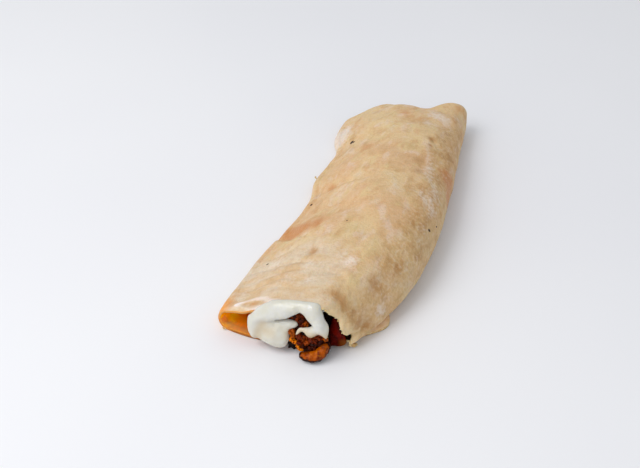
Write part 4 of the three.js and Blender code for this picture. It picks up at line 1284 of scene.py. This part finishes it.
def make_fallen_chunk():
    bm = bmesh.new()
    beads(bm, FALLEN)
    piece = new_piece("orange_crescent", bm, [chunk_finish()], "fallen_chunk")
    mesh = melted(piece, SMALL_VOXEL, CHUNK_SMOOTHING)
    roughen(mesh, CHUNK_BUMPS)
    x, _, z = millimetres(mesh).T
    # Burnt tip, crest and right end, and painted shade along the foot
    burnt_and_shade = np.maximum(fading(x, *BURNT_TIP), fading(z, *SHADED_FOOT))
    burnt_and_shade = np.maximum(burnt_and_shade, BURNT_CREST_SHARE * step(z, *BURNT_CREST))
    paint(mesh, "burnt_and_shade", np.maximum(burnt_and_shade, BURNT_END_SHARE * step(x, *BURNT_END)))


def flake(bm, rng, centre, half, turn, tilt):
    """A thin ragged scrap that curls up at two sides."""
    made = bmesh.ops.create_grid(bm, x_segments=FLAKE_CUTS, y_segments=FLAKE_CUTS, size=half)["verts"]
    apart = Vector([rng.random() for _ in range(3)]) * 40
    for vert in made:
        ragged = max(abs(vert.co.x), abs(vert.co.y)) / max(vert.co.length, 1e-6)
        ragged *= 1 + FLAKE_RAGGED * noise.noise(vert.co.normalized() * FLAKE_RAGGED_OFTEN + apart)
        curl = FLAKE_CURL * half * (vert.co.x / half) ** 2
        bump = FLAKE_BUMP * half * noise.noise(vert.co / half + apart)
        vert.co = Vector((vert.co.x * ragged, FLAKE_NARROW * vert.co.y * ragged, curl + bump))
    matrix = Matrix.Translation(centre) @ Matrix.Rotation(turn, 4, "Z") @ Matrix.Rotation(tilt, 4, "X")
    bmesh.ops.transform(bm, matrix=matrix, verts=made)


def make_flakes(lip):
    """Thin scraps of the sheet that stand off its edges, and more of them along the torn lip."""
    rng = random.Random(9)
    scraps = []
    for _ in range(SCRAPS):
        centre = rng.choice(lip)
        half = rng.uniform(*SCRAP_SIZES)
        turn = rng.uniform(*SCRAP_TURNS)
        scraps.append((centre, half, turn, rng.uniform(*SCRAP_TILTS)))
    bm = bmesh.new()
    for place in FLAKES + scraps:
        flake(bm, rng, *place)
    piece = new_piece("bread_flakes", bm, [crumb_finish()])
    shell = piece.modifiers.new("thickness", "SOLIDIFY")
    shell.thickness = FLAKE_THICK * MM
    shell.offset = 0


def aim_at(thing, place, aim):
    """Sets a lamp or a camera at a place, looking at another, in metres."""
    thing.location = place
    thing.rotation_euler = (aim - place).to_track_quat("-Z", "Y").to_euler()
    bpy.context.scene.collection.objects.link(thing)


def make_floor():
    bm = bmesh.new()
    bmesh.ops.create_grid(bm, x_segments=1, y_segments=1, size=FLOOR_HALF)
    mesh = bpy.data.meshes.new("floor")
    bm.to_mesh(mesh)
    bm.free()
    f = Finish("pale_floor")
    shade = f.over(f.ramp(f.grain(300, 2), 0.3, 0.7), srgb(236, 236, 240), srgb(240, 240, 243))
    f.set(Base_Color=shade, Roughness=0.6)
    mesh.materials.append(f.material)
    floor = bpy.data.objects.new("floor", mesh)
    bpy.context.scene.collection.objects.link(floor)


def make_lights(sheet):
    """A pale sky, three lamps, and a small one that lights the sheet alone."""
    world = bpy.data.worlds.new("studio")
    bpy.context.scene.world = world
    world.use_nodes = True
    sky = world.node_tree.nodes["Background"]
    sky.inputs["Color"].default_value = SKY_COLOUR
    sky.inputs["Strength"].default_value = SKY_STRENGTH
    for name, (place, size, power) in LAMPS.items():
        lamp = bpy.data.lights.new(name, "AREA")
        lamp.size = size
        lamp.energy = power
        aim_at(bpy.data.objects.new(name, lamp), Vector(place), Vector())
    lamp = bpy.data.lights.new("mouth_lamp", "SPOT")
    lamp.energy = MOUTH_LAMP_POWER
    lamp.spot_size = math.radians(MOUTH_LAMP_CONE)
    lamp.spot_blend = 1
    lamp.shadow_soft_size = MOUTH_LAMP_SIZE * MM
    light = bpy.data.objects.new("mouth_lamp", lamp)
    aim_at(light, Vector(MOUTH_LAMP_PLACE) * MM, Vector(MOUTH_LAMP_AIM) * MM)
    lit = bpy.data.collections.new("lit_by_mouth_lamp")
    lit.objects.link(sheet)
    light.light_linking.receiver_collection = lit
    bpy.context.scene.view_settings.view_transform = "Standard"


def make_camera():
    lens = bpy.data.cameras.new("camera")
    lens.lens = LENS
    lens.sensor_width = SENSOR
    camera = bpy.data.objects.new("camera", lens)
    aim_at(camera, Vector((CAMERA_PLACE + FRAME_SHIFT) * MM), Vector((CAMERA_AIM + FRAME_SHIFT) * MM))
    bpy.context.scene.camera = camera


make_camera()
sheet, torn_lip = make_paratha()
make_floor()
make_lights(sheet)
make_sauce()
make_filling()
make_strip()
make_fallen_chunk()
make_flakes(torn_lip)
